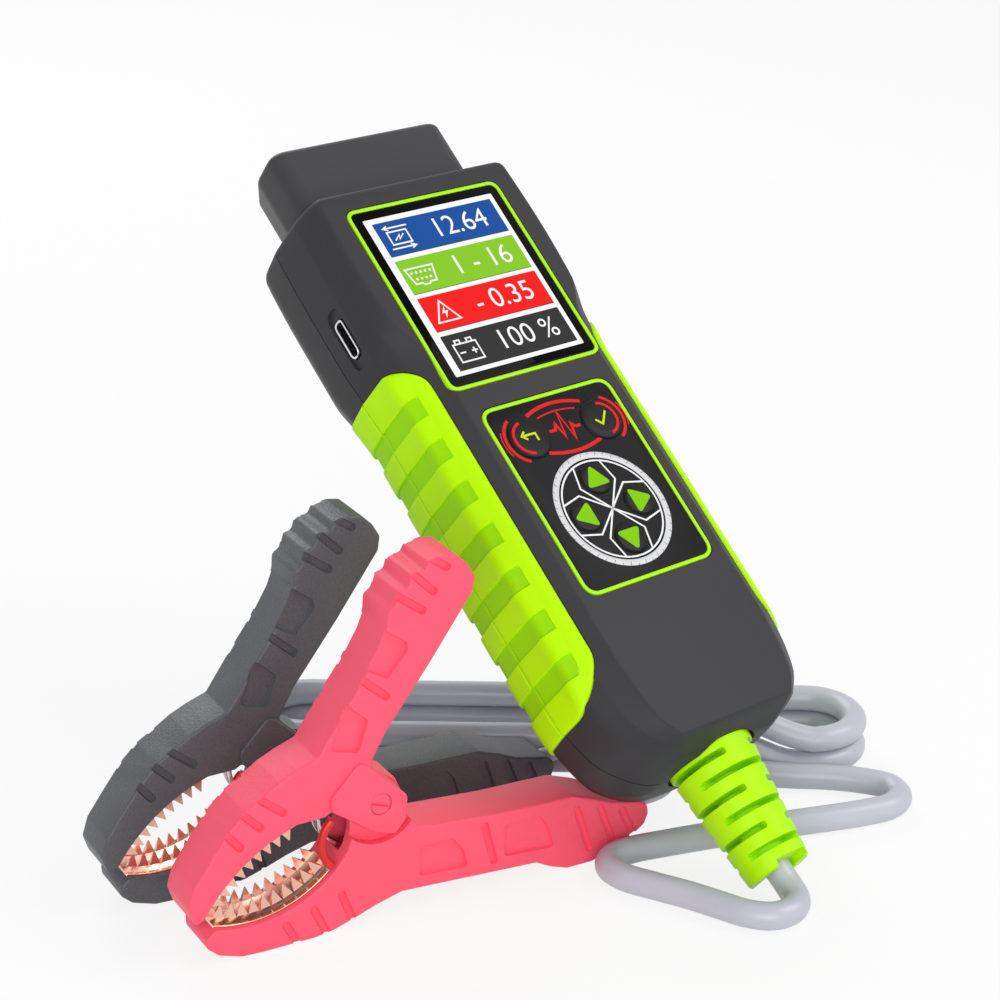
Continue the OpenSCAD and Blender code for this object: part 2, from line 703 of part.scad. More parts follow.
// Upper lever: toothed jaw edge, pivot ear, raised handle with three ribs
module upper_outline() {
    polygon(concat([[-34.2, 8.3]], arc_points(upper_arc, upper_from, upper_to, 8, 0), [
        [-10, 22.4], [-8.8, 23.2], [-1.4, 17.3], [1.8, 16.4], [3.8, 17.2], [5.2, 19.2], [5.2, 22.2],
        [3.4, 25.2], [-1.6, 30.2], [1.4, 35.4], [10, 46.6], [18.2, 58], [18.6, 60.6], [17.2, 63],
        [15.2, 65], [12.8, 65.4], [9.8, 64.8], [9.2, 63.4], [6.6, 63.2], [6, 61], [4.2, 60.6], [3.6, 58.2],
        [2.2, 57.2], [2, 54.6], [0.8, 51.6], [-2.8, 45.6], [-5.6, 41.8], [-11.2, 33.8], [-14.9, 32.5],
        [-18.2, 31], [-21, 29.2], [-24.5, 27.1], [-27.4, 24.3], [-31, 19.6], [-34.2, 15.2], [-35.3, 11.8]]));
}

// Lower lever: toothed jaw edge, pivot boss, handle that the clamp stands on
foot = [37, 42];
module lower_outline() {
    polygon(concat([[-32.3, 5.2]], arc_points(lower_arc, lower_from, lower_to, 8, 0), [
        [-6, 15], [-5, 18], [-4.9, 22.7], [-3.6, 26.1], [0, 27.6], [3.6, 26.1], [5, 22.7], [6, 18], [7.4, 16.3],
        [10, 15.7], [24, 14.6], [38, 14.2], [42.4, 12.6], [46, 11], [49.4, 10.2], [52.2, 9.6], [53.6, 8.4], [53.8, 6.8],
        [53, 4.8], [51, 3.4], [48.8, 2.6], [48, 1.4], [45, 1.4], [44.2, 0.5], [foot[1], 0], [foot[0], 0],
        [33.6, 1.2], [30.6, 2.8], [4, 4.4], [-1, 3.1], [-5, 1.7], [-9, 0.5], [-12.6, 0], [-22, 0], [-26, 0.2],
        [-30.2, 1.6], [-32.2, 3.4]]));
}

// The space that a moving ear needs on the lower lever
ear_r = 7.6;
tongue_t = clamp_t - 2 * ear_t - 2 * move_gap;
spring_t = 3 * spring_wire;
module spring_slot() {
    across(spring_t + 2 * move_gap) translate([0, pivot_h]) circle(r = spring_r + move_gap);
}

module pivot_bore(r) {
    translate([0, clamp_t, pivot_h]) rotate([90, 0, 0]) cylinder(r = r, h = 2 * clamp_t);
}

module jaw_slot(arc, from, to, depth) {
    across(jaw_t + 2 * fit_gap) polygon(concat(arc_points(arc, from, to, 8, 1), arc_points(arc, to, from, 8, -depth - fit_gap)));
}

jaw_depth = 1.4;
module upper_lever() {
    difference() {
        across(clamp_t) upper_outline();
        across(clamp_t - 2 * ear_t) translate([0, pivot_h]) union() {
            circle(r = ear_r);
            translate([-10.6, -8]) square([12, 8.4]);
        }
        jaw_slot(upper_arc, upper_from, upper_to, jaw_depth);
        spring_slot();
        pivot_bore(pivot_d / 2 + run_gap);
    }
}

module lower_lever() {
    difference() {
        across(clamp_t) lower_outline();
        for (side = [-1, 1]) translate([0, side * (tongue_t + clamp_t) / 2, 0])
            across(clamp_t) translate([0, pivot_h]) circle(r = ear_r);
        jaw_slot(lower_arc, lower_from, lower_to, jaw_depth);
        spring_slot();
        pivot_bore(pivot_d / 2 + run_gap);
        translate([lever_end - 5, 0, lead_z]) rotate([0, 90, 0]) cylinder(d = lead_d + 2 * fit_gap, h = 10);
    }
}

// A copper strip with saw teeth, bent along the jaw's edge
function saw(arc, from, to) = [for (i = [0:2 * teeth - 1]) let (a = from + (to - from) * (i + 0.5) / (2 * teeth),
    r = arc[2] - (i % 2 == 0 ? 0 : tooth_h)) [arc[0] + r * cos(a), arc[1] + r * sin(a)]];
module jaw_strip(arc, from, to) {
    across(jaw_t) polygon(concat(arc_points(arc, from, to, 8, -jaw_depth), [for (i = [2 * teeth - 1:-1:0]) saw(arc, from, to)[i]]));
}

// Three turns of wire round the pivot, between the lower lever's two tongues
module spring_coil() {
    translate([0, spring_t / 2, pivot_h]) rotate([90, 0, 0]) difference() {
        cylinder(r = spring_r, h = spring_t);
        translate([0, 0, -1]) cylinder(r = spring_r - spring_wire, h = spring_t + 2);
    }
}

module pivot_pin() {
    translate([0, clamp_t / 2 + 0.2, pivot_h]) rotate([90, 0, 0]) cylinder(d = pivot_d, h = clamp_t + 0.4);
}

// The wire that links the two copper jaws
jumper_d = 1.5;
jumper_r = 5.6;
jumper_y = -jaw_t / 2 - jumper_d / 2 - fit_gap;
module jumper() {
    translate([-5.2, jumper_y, 17]) rotate([90, 0, 0]) rotate([0, 0, 130]) rotate_extrude(angle = 98, $fn = 48)
        translate([jumper_r, 0]) circle(d = jumper_d, $fn = 16);
}

module red_upper_lever() color(clamp_red) place_clamp(red_at) upper_lever();
module red_lower_lever() color(clamp_red) place_clamp(red_at) lower_lever();
module red_upper_jaw() color(copper) place_clamp(red_at) jaw_strip(upper_arc, upper_from, upper_to);
module red_lower_jaw() color(copper) place_clamp(red_at) jaw_strip(lower_arc, lower_from, lower_to);
module red_spring() color(steel) place_clamp(red_at) spring_coil();
module red_pin() color(clamp_red) place_clamp(red_at) pivot_pin();
module red_jumper() color([0.8, 0.1, 0.1]) place_clamp(red_at) jumper();
module black_upper_lever() color(clamp_black) place_clamp(black_at) upper_lever();
module black_lower_lever() color(clamp_black) place_clamp(black_at) lower_lever();
module black_upper_jaw() color(copper) place_clamp(black_at) jaw_strip(upper_arc, upper_from, upper_to);
module black_lower_jaw() color(copper) place_clamp(black_at) jaw_strip(lower_arc, lower_from, lower_to);
module black_spring() color(steel) place_clamp(black_at) spring_coil();
module black_pin() color(clamp_black) place_clamp(black_at) pivot_pin();
module black_jumper() color([0.8, 0.1, 0.1]) place_clamp(black_at) jumper();

front_shell();
rear_shell();
grip_left();
grip_right();
screen_glass();
screen_border();
display_module();
keypad_sheet();
keypad_border();
keypad_ring();
key_back();
key_ok();
key_up();
key_down();
key_left();
key_right();
key_switches();
circuit_board();
plug_shell();
plug_core();
plug_pins();
usb_port();
buzzer();
processor();
load_resistor();
terminal_block();
case_screws();
cord_boot();
cord_tail();
cord();
cord_coil();
coil_tie();
coil_exit();
splitter();
lead_red();
lead_black();
red_upper_lever();
red_lower_lever();
red_upper_jaw();
red_lower_jaw();
red_spring();
red_pin();
red_jumper();
black_upper_lever();
black_lower_lever();
black_upper_jaw();
black_lower_jaw();
black_spring();
black_pin();
black_jumper();
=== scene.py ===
import json
import math
import bmesh
import bpy
from mathutils import Matrix, Vector
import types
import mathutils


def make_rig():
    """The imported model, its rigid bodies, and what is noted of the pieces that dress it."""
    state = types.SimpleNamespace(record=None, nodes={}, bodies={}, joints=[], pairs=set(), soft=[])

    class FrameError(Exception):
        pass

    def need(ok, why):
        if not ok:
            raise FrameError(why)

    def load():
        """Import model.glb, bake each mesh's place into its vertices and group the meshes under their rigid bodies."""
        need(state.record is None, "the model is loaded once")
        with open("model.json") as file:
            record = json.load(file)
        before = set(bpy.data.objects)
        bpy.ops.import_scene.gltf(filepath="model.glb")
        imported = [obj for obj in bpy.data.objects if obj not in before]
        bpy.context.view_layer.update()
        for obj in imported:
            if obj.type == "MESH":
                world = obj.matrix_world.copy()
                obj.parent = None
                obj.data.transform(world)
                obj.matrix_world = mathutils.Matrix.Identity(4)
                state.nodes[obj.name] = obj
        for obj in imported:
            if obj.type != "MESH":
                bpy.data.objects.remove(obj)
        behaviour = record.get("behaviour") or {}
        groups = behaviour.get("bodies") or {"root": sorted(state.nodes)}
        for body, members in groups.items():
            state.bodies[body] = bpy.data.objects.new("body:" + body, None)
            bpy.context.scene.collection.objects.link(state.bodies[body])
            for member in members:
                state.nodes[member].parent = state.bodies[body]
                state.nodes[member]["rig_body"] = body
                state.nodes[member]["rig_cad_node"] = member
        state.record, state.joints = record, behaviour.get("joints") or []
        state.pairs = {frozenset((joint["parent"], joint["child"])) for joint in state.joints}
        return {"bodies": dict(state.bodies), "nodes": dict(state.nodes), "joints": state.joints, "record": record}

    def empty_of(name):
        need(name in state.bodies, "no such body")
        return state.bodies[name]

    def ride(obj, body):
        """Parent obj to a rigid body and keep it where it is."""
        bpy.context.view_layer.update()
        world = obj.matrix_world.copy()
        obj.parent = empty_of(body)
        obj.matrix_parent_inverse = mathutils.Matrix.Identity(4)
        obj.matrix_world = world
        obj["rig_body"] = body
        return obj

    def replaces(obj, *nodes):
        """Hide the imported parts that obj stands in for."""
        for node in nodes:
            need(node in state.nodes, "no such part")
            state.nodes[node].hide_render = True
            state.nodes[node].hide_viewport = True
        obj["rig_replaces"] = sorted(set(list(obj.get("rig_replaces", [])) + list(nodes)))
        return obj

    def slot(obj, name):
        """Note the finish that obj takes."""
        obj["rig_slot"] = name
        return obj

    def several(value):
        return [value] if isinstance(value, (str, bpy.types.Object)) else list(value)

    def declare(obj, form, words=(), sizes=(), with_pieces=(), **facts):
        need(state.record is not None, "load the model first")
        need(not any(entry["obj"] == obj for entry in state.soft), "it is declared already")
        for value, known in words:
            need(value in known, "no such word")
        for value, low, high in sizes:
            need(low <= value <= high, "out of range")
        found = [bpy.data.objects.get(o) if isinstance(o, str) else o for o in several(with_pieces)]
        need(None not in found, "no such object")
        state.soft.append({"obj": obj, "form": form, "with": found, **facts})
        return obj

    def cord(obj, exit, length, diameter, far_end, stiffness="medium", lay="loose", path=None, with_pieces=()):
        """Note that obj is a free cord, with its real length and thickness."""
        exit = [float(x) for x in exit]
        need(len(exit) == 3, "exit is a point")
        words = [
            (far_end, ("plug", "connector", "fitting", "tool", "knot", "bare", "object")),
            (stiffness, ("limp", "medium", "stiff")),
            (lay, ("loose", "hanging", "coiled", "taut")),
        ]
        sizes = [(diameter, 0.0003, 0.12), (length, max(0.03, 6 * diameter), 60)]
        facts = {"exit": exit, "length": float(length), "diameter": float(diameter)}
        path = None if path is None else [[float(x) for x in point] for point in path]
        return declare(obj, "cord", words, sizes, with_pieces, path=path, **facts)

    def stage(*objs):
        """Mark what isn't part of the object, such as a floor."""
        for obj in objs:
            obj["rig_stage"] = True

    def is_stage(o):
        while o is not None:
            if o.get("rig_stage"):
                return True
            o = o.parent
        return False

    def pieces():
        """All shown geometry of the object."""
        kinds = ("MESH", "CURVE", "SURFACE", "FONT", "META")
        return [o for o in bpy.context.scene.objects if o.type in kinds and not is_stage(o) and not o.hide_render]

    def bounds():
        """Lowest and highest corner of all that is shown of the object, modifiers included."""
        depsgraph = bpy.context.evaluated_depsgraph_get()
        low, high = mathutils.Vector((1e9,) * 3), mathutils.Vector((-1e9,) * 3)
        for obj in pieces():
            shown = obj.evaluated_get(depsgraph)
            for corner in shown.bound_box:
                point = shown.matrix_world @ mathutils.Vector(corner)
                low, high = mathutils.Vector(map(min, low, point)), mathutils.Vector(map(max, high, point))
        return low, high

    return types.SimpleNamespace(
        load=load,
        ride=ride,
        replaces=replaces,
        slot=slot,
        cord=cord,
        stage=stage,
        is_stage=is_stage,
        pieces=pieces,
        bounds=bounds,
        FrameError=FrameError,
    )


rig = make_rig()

for spare in list(bpy.data.objects):
    bpy.data.objects.remove(spare)
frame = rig.load()
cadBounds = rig.bounds()
scene = bpy.context.scene
scene.view_settings.view_transform = "Standard"
mm = 0.001

# Where the tester and the two clamps stand on the table, in millimetres and degrees
layout = {
    "shift": (34.3953, 1.25724),
    "lift": 76.2095,
    "lean": 40.5,
    "clampTurn": -11.4,
    "clamps": {"red": (-56.8, -20.2), "black": (-58.3, 3.8)},
}


def tablePlace(x=0.0, y=0.0, z=0.0):
    shiftX, shiftY = layout["shift"]
    return Matrix.Scale(mm, 4) @ Matrix.Translation((shiftX + x, shiftY + y, z))


def testerPlace():
    return tablePlace(z=layout["lift"]) @ Matrix.Rotation(math.radians(layout["lean"]), 4, "X")


def clampPlace(colour):
    turn = Matrix.Rotation(math.radians(layout["clampTurn"]), 4, "Z")
    return tablePlace(*layout["clamps"][colour]) @ turn


# Where the camera stands, with its own axes, in the table's millimetres
cameraSet = {
    "spot": (-300.9, -343.9, 236.3),
    "right": (0.7635, -0.6459, 0.0),
    "down": (-0.2379, -0.2810, -0.9298),
    "forward": (0.6004, 0.7099, -0.3681),
    "lens": 96.08,
}


def addObject(name, data):
    piece = bpy.data.objects.new(name, data)
    scene.collection.objects.link(piece)
    return piece


def addCamera():
    data = bpy.data.cameras.new("camera")
    data.lens = cameraSet["lens"]
    data.sensor_width = 36
    data.sensor_fit = "HORIZONTAL"
    data.clip_start = 0.01
    data.clip_end = 50
    camera = addObject("camera", data)
    right = Vector(cameraSet["right"]).normalized()
    back = -Vector(cameraSet["forward"]).normalized()
    up = back.cross(right)
    turn = Matrix((right, up, back)).transposed().to_4x4()
    camera.matrix_world = Matrix.Translation(tablePlace() @ Vector(cameraSet["spot"])) @ turn
    scene.camera = camera


addCamera()


def newGroup(name, inputs, outputs):
    group = bpy.data.node_groups.new(name, "ShaderNodeTree")
    for label, kind, value in inputs:
        socket = group.interface.new_socket(name=label, in_out="INPUT", socket_type=kind)
        socket.default_value = value
    for label, kind in outputs:
        group.interface.new_socket(name=label, in_out="OUTPUT", socket_type=kind)
    return group


def addNode(tree, kind, inputs=None, **settings):
    node = tree.nodes.new(kind)
    for key, value in settings.items():
        setattr(node, key, value)
    for key, value in (inputs or {}).items():
        if isinstance(value, bpy.types.NodeSocket):
            tree.links.new(value, node.inputs[key])
        else:
            node.inputs[key].default_value = value
    return node


def makeGrainGroup():
    # Fine spark-eroded grain: a height, and a slow change of tone
    number = "NodeSocketFloat"
    group = newGroup("mouldGrain", [("Scale", number, 2500.0), ("Patch Scale", number, 60.0)],
                     [("Height", number), ("Tone", number)])
    given = addNode(group, "NodeGroupInput")
    where = addNode(group, "ShaderNodeTexCoord")
    fine = addNode(group, "ShaderNodeTexNoise",
                   {"Vector": where.outputs["Object"], "Scale": given.outputs["Scale"], "Detail": 2.0})
    cells = addNode(group, "ShaderNodeTexVoronoi",
                    {"Vector": where.outputs["Object"], "Scale": given.outputs["Scale"]}, feature="SMOOTH_F1")
    both = addNode(group, "ShaderNodeMath", {0: fine.outputs["Fac"], 1: cells.outputs["Distance"]},
                   operation="ADD")
    patch = addNode(group, "ShaderNodeTexNoise",
                    {"Vector": where.outputs["Object"], "Scale": given.outputs["Patch Scale"], "Detail": 3.0})
    addNode(group, "NodeGroupOutput", {"Height": both.outputs[0], "Tone": patch.outputs["Fac"]})
    return group


grainGroup = makeGrainGroup()


def makeFinish(name, colour, rough, grain=(2500.0, 60.0), bump=0.1, depth=0.00003, toneSpread=0.06,
               roughSpread=0.06, metallic=0.0, coat=0.0, specular=0.5):
    # One plastic, rubber or metal finish: colour drift, roughness drift and a grain bump
    material = bpy.data.materials.new(name)
    material.use_nodes = True
    tree = material.node_tree
    shader = tree.nodes["Principled BSDF"]
    group = addNode(tree, "ShaderNodeGroup", node_tree=grainGroup)
    group.inputs["Scale"].default_value = grain[0]
    group.inputs["Patch Scale"].default_value = grain[1]
    low = [max(0.0, c * (1 - toneSpread)) for c in colour]
    high = [min(1.0, c * (1 + toneSpread)) for c in colour]
    mix = addNode(tree, "ShaderNodeMix", {0: group.outputs["Tone"], 6: (*low, 1), 7: (*high, 1)},
                  data_type="RGBA")
    tree.links.new(mix.outputs[2], shader.inputs["Base Color"])
    drift = addNode(tree, "ShaderNodeMapRange",
                    {"Value": group.outputs["Tone"], "To Min": rough - roughSpread,
                     "To Max": rough + roughSpread})
    tree.links.new(drift.outputs[0], shader.inputs["Roughness"])
    bumped = addNode(tree, "ShaderNodeBump",
                     {"Height": group.outputs["Height"], "Strength": bump, "Distance": depth})
    tree.links.new(bumped.outputs["Normal"], shader.inputs["Normal"])
    shader.inputs["Metallic"].default_value = metallic
    shader.inputs["Coat Weight"].default_value = coat
    shader.inputs["Coat Roughness"].default_value = 0.1
    shader.inputs["Specular IOR Level"].default_value = specular
    material.diffuse_color = (*colour, 1)
    return material


def makeLit(name, colour):
    # A lit part of the display: it gives off its own colour under a glossy cover
    material = bpy.data.materials.new(name)
    material.use_nodes = True
    tree = material.node_tree
    shader = tree.nodes["Principled BSDF"]
    where = addNode(tree, "ShaderNodeTexCoord")
    pixels = addNode(tree, "ShaderNodeTexNoise", {"Vector": where.outputs["Object"], "Scale": 9000.0})
    low = tuple(c * 0.94 for c in colour)
    mix = addNode(tree, "ShaderNodeMix", {0: pixels.outputs["Fac"], 6: (*low, 1), 7: (*colour, 1)},
                  data_type="RGBA")
    tree.links.new(mix.outputs[2], shader.inputs["Emission Color"])
    shader.inputs["Emission Strength"].default_value = 1.0
    shader.inputs["Base Color"].default_value = (0.01, 0.01, 0.01, 1)
    shader.inputs["Roughness"].default_value = 0.3
    shader.inputs["Specular IOR Level"].default_value = 0.05
    material.diffuse_color = (*colour, 1)
    return material


casingMould = {"grain": (2600.0, 40.0), "bump": 0.14, "depth": 0.00004}
rubber = {"grain": (1800.0, 30.0), "bump": 0.05, "depth": 0.00003, "toneSpread": 0.03}
printed = {"grain": (2500.0, 60.0), "bump": 0.03, "depth": 0.00002, "toneSpread": 0.03}
finishes = {
    "casing": makeFinish("casingPlastic", (0.040, 0.040, 0.043), 0.46, **casingMould, specular=0.13),
    "plug": makeFinish("plugPlastic", (0.052, 0.052, 0.055), 0.44, **casingMould, specular=0.16),
    "grip": makeFinish("limeRubber", (0.50, 0.97, 0.001), 0.45, **rubber, specular=0.12),
    # The channel finish is the grip's rubber made darker: painted shade in the recessed channels
    "channel": makeFinish("limeRubberChannelPaintedShade", (0.34, 0.78, 0.001), 0.5, **rubber, specular=0.12),
    # The groove finish is the grip's rubber made darker: painted shade along the parting-line groove
    "groove": makeFinish("limeRubberGroovePaintedShade", (0.30, 0.66, 0.001), 0.6, **rubber, specular=0.1),
    "boot": makeFinish("limeBootRubber", (0.46, 0.92, 0.001), 0.40, **rubber, specular=0.15),
    "border": makeFinish("limePaint", (0.42, 0.86, 0.004), 0.32, (2000, 50), 0.03, 2e-5, 0.03, specular=0.15),
    "glass": makeFinish("screenGlassBlack", (0.001, 0.001, 0.001), 0.06, (300, 20), 0.0, 1e-5, 0.02, 0.02,
                        specular=0.04),
    "sheet": makeFinish("keypadFilm", (0.007, 0.007, 0.008), 0.36, (3000, 40), 0.04, 2e-5, 0.05,
                        specular=0.09),
    "ring": makeFinish("silverPrint", (0.62, 0.62, 0.64), 0.35, (2500, 60), 0.04, 2e-5, 0.05),
    "print": makeFinish("whitePrint", (0.85, 0.85, 0.86), 0.4, **printed),
    "redPrint": makeFinish("redPrint", (0.74, 0.008, 0.010), 0.35, (2500, 60), 0.03, 2e-5, 0.05,
                           specular=0.1),
    "limePrint": makeFinish("limePrint", (0.22, 0.58, 0.001), 0.35, **printed, specular=0.05),
    "yellowPrint": makeFinish("yellowPrint", (0.62, 0.76, 0.004), 0.35, **printed, specular=0.1),
    "cord": makeFinish("greyCordJacket", (0.50, 0.51, 0.58), 0.34, (1500, 25), 0.03, 3e-5, 0.03, coat=0.1),
    "redClamp": makeFinish("redClampPlastic", (0.98, 0.098, 0.165), 0.45, (2600, 2200), 0.4, 8e-5, 0.07,
                           specular=0.3),
    "blackClamp": makeFinish("blackClampPlastic", (0.084, 0.087, 0.096), 0.42, (2600, 3000), 0.7, 9e-5, 0.35,
                             specular=0.35),
    "copper": makeFinish("copperTeeth", (0.86, 0.50, 0.39), 0.22, (900, 80), 0.08, 5e-5, 0.12, 0.06,
                         metallic=1.0),
    "steel": makeFinish("springSteel", (0.62, 0.61, 0.60), 0.25, (1200, 80), 0.05, 3e-5, 0.08, metallic=1.0),
    "brightSteel": makeFinish("socketSteel", (0.75, 0.75, 0.77), 0.2, (1200, 80), 0.05, 3e-5, 0.05,
                              metallic=1.0),
    "gold": makeFinish("contactGold", (0.85, 0.62, 0.28), 0.22, (1200, 80), 0.04, 3e-5, 0.06, metallic=1.0),
    "jumper": makeFinish("redWire", (0.62, 0.008, 0.008), 0.32, (1500, 50), 0.04, 3e-5, 0.06),
    "dark": makeFinish("blackMoulding", (0.02, 0.02, 0.022), 0.38, (2200, 60), 0.08, 3e-5, 0.1),
    "board": makeFinish("boardGreen", (0.01, 0.11, 0.04), 0.35, (800, 90), 0.05, 3e-5, 0.15),
    "ceramic": makeFinish("resistorCase", (0.55, 0.55, 0.53), 0.5, (1500, 60), 0.1, 4e-5, 0.06),
    "key": makeFinish("keyFilm", (0.007, 0.007, 0.008), 0.32, (3000, 40), 0.04, 2e-5, 0.05, specular=0.12),
    "tickGrey": makeFinish("tickGrey", (0.05, 0.05, 0.055), 0.4, (2500, 60), 0.03, 2e-5, 0.05),
    "terminal": makeFinish("terminalGreen", (0.02, 0.22, 0.05), 0.4, (1500, 60), 0.06, 3e-5, 0.08),
    "litWhite": makeLit("litWhite", (1.0, 1.0, 1.0)),
    "litBlue": makeLit("litBlue", (0.0, 0.075, 0.36)),
    "litGreen": makeLit("litGreen", (0.25, 0.62, 0.01)),
    "litRed": makeLit("litRed", (0.95, 0.0, 0.0)),
    "litDark": makeLit("litDark", (0.024, 0.024, 0.026)),
    "litLine": makeLit("litLine", (0.004, 0.004, 0.005)),
}
print("materials made:", len(finishes))


def dress(piece, finish):
    piece.data.materials.clear()
    piece.data.materials.append(finishes[finish])


# Shapes are drawn in millimetres until a piece is settled
def newPiece(name, points, faces):
    mesh = bpy.data.meshes.new(name)
    mesh.from_pydata([tuple(p) for p in points], [], faces)
    mesh.validate()
    return addObject(name, mesh)


def meshFrom(carrier):
    graph = bpy.context.evaluated_depsgraph_get()
    return bpy.data.meshes.new_from_object(carrier.evaluated_get(graph))


def bakeShape(piece):
    mesh = meshFrom(piece)
    piece.modifiers.clear()
    piece.data = mesh


def outward(piece):
    work = bmesh.new()
    work.from_mesh(piece.data)
    bmesh.ops.remove_doubles(work, verts=work.verts, dist=0.0005)
    bmesh.ops.recalc_face_normals(work, faces=work.faces)
    work.to_mesh(piece.data)
    work.free()


def takeMesh(name, carrier):
    # What a curve or a label makes, as a piece of its own
    mesh = meshFrom(carrier)
    bpy.data.objects.remove(carrier)
    piece = addObject(name, mesh)
    outward(piece)
    return piece


def volumeOf(mesh):
    work = bmesh.new()
    work.from_mesh(mesh)
    volume = work.calc_volume()
    work.free()
    return volume


carveTries = [(0.0, False), (0.0, True), (0.013, False), (0.013, True), (-0.017, True)]


def carve(piece, cutter, how="DIFFERENCE"):
    # A cut whose result has an impossible volume is taken back and tried again, nudged a little
    kept = piece.data.copy()
    before, tool = volumeOf(kept), volumeOf(cutter.data)
    for nudge, crossing in carveTries:
        cutter.location = (nudge, nudge, nudge)
        cut = piece.modifiers.new("cut", "BOOLEAN")
        cut.operation = how
        cut.object = cutter
        cut.solver = "EXACT"
        cut.use_self = crossing
        bakeShape(piece)
        change = volumeOf(piece.data) - before
        if how == "UNION":
            change = -change
        if -1.02 * tool <= change <= 0.001 * before:
            break
        piece.data = kept.copy()
    else:
        print("not carved:", piece.name, cutter.name)
    bpy.data.objects.remove(cutter)


def settle(piece, place, finish, body, slot, replaced=(), angle=38):
    piece.data.transform(place)
    piece.data.shade_smooth()
    piece.data.set_sharp_from_angle(angle=math.radians(angle))
    dress(piece, finish)
    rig.ride(piece, body)
    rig.slot(piece, slot)
    if replaced:
        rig.replaces(piece, *replaced)
    return piece


def fit(piece, finish, slot, *replaced, angle=38):
    # A piece that belongs to the tester itself
    return settle(piece, testerPlace(), finish, "tester", slot, replaced, angle)


def joinPieces(name, pieces):
    points, faces = [], []
    for piece in pieces:
        start = len(points)
        points += [v.co.copy() for v in piece.data.vertices]
        faces += [[start + i for i in face.vertices] for face in piece.data.polygons]
        bpy.data.objects.remove(piece)
    return newPiece(name, points, faces)


def roundLoop(corners, radii, steps=4):
    # Rounds each corner of a closed loop with a short curve; the number of points never changes
    loop = []
    for i, corner in enumerate(corners):
        here = Vector(corner)
        before = Vector(corners[i - 1]) - here
        after = Vector(corners[(i + 1) % len(corners)]) - here
        half = before.angle(after) / 2
        reach = min(radii[i] / math.tan(half), 0.45 * before.length, 0.45 * after.length)
        before.normalize()
        after.normalize()
        for k in range(steps + 1):
            u = k / steps
            loop.append(here + before * reach * (1 - u) ** 2 + after * reach * u ** 2)
    return loop


def loft(name, rings, closedRound=False):
    # Joins rings of equal length; both ends are capped, unless the last joins the first
    size = len(rings[0])
    points = [p for ring in rings for p in ring]
    faces = []
    for i in range(len(rings) - (0 if closedRound else 1)):
        a = i * size
        b = ((i + 1) % len(rings)) * size
        faces += [(a + j, b + j, b + (j + 1) % size, a + (j + 1) % size) for j in range(size)]
    if not closedRound:
        faces.append(tuple(range(size)))
        faces.append(tuple(range(len(rings) * size - 1, (len(rings) - 1) * size - 1, -1)))
    piece = newPiece(name, points, faces)
    outward(piece)
    return piece


def insetLoop(loop, inset):
    # A closed loop with every point moved to the left of the way round
    moved = []
    for i, p in enumerate(loop):
        along = (Vector(loop[(i + 1) % len(loop)]) - Vector(loop[i - 1])).normalized()
        moved.append(Vector(p) + Vector((-along.y, along.x)) * inset)
    return moved


def slab(name, loop, low, high, edge=0.0, steps=2):
    # A flat piece from a loop of (x, y) points; edge rounds its upper rim
    levels = [(low, 0.0), (high - edge, 0.0)]
    if edge:
        turns = [k / steps * math.pi / 2 for k in range(1, steps + 1)]
        levels += [(high - edge + edge * math.sin(a), edge * (1 - math.cos(a))) for a in turns]
    return loft(name, [[(q.x, q.y, level) for q in insetLoop(loop, inset)] for level, inset in levels])


def boxLoop(wide, long, radius, x=0.0, y=0.0, steps=5):
    # Anticlockwise rounded rectangle round (x, y)
    a, b = wide / 2, long / 2
    corners = [(x + a, y - b), (x + a, y + b), (x - a, y + b), (x - a, y - b)]
    return roundLoop(corners, [radius] * 4, steps)


def circleLoop(radius, x=0.0, y=0.0, count=48):
    turns = [2 * math.pi * i / count for i in range(count)]
    return [(x + radius * math.cos(a), y + radius * math.sin(a)) for a in turns]


def frameRing(name, outer, inner, low, high, edge=0.15):
    # A raised closed line between two loops of equal count
    levels = [(low, 0.0), (high - edge, 0.0), (high - edge * 0.3, 0.3), (high, 1.0)]
    rings = []
    for level, inset in levels:
        rings.append([(*(Vector(o) + (Vector(i) - Vector(o)).normalized() * edge * inset), level)
                      for o, i in zip(outer, inner)])
    for level, inset in reversed(levels):
        rings.append([(*(Vector(i) + (Vector(o) - Vector(i)).normalized() * edge * inset), level)
                      for o, i in zip(outer, inner)])
    return loft(name, rings, closedRound=True)


def stroke(points, width, low, high, name="stroke", closed=False):
    # A flat printed line of even width through (x, y) points
    path = [Vector(p) for p in points]
    count = len(path)
    left, right = [], []
    for i, p in enumerate(path):
        before = path[i - 1] if i or closed else p
        after = path[(i + 1) % count] if i < count - 1 or closed else p
        a = (p - before).normalized() if (p - before).length > 1e-6 else None
        b = (after - p).normalized() if (after - p).length > 1e-6 else None
        a = a or b
        b = b or a
        mid = (a + b).normalized()
        side = Vector((-mid.y, mid.x))
        reach = width / 2 / max(0.4, side.dot(Vector((-a.y, a.x))))
        left.append(p + side * reach)
        right.append(p - side * reach)
    rings = [[(*l, low), (*r, low), (*r, high), (*l, high)] for l, r in zip(left, right)]
    return loft(name, rings, closedRound=closed)


def arcPoints(x, y, radius, start, end, count=16):
    turns = [math.radians(start + (end - start) * i / count) for i in range(count + 1)]
    return [(x + radius * math.cos(a), y + radius * math.sin(a)) for a in turns]


def shiftPoints(points, x, y):
    return [(px + x, py + y) for px, py in points]


def turnPoints(points, a):
    return [(x * math.cos(a) - y * math.sin(a), x * math.sin(a) + y * math.cos(a)) for x, y in points]


def startTree(name, inputs):
    # A geometry tree with named inputs after its geometry, and one geometry out
    tree = bpy.data.node_groups.new(name, "GeometryNodeTree")
    for label, kind in [("Geometry", "NodeSocketGeometry"), *inputs, ("Finish", "NodeSocketMaterial")]:
        tree.interface.new_socket(name=label, in_out="INPUT", socket_type=kind)
    tree.interface.new_socket(name="Geometry", in_out="OUTPUT", socket_type="NodeSocketGeometry")
    return tree


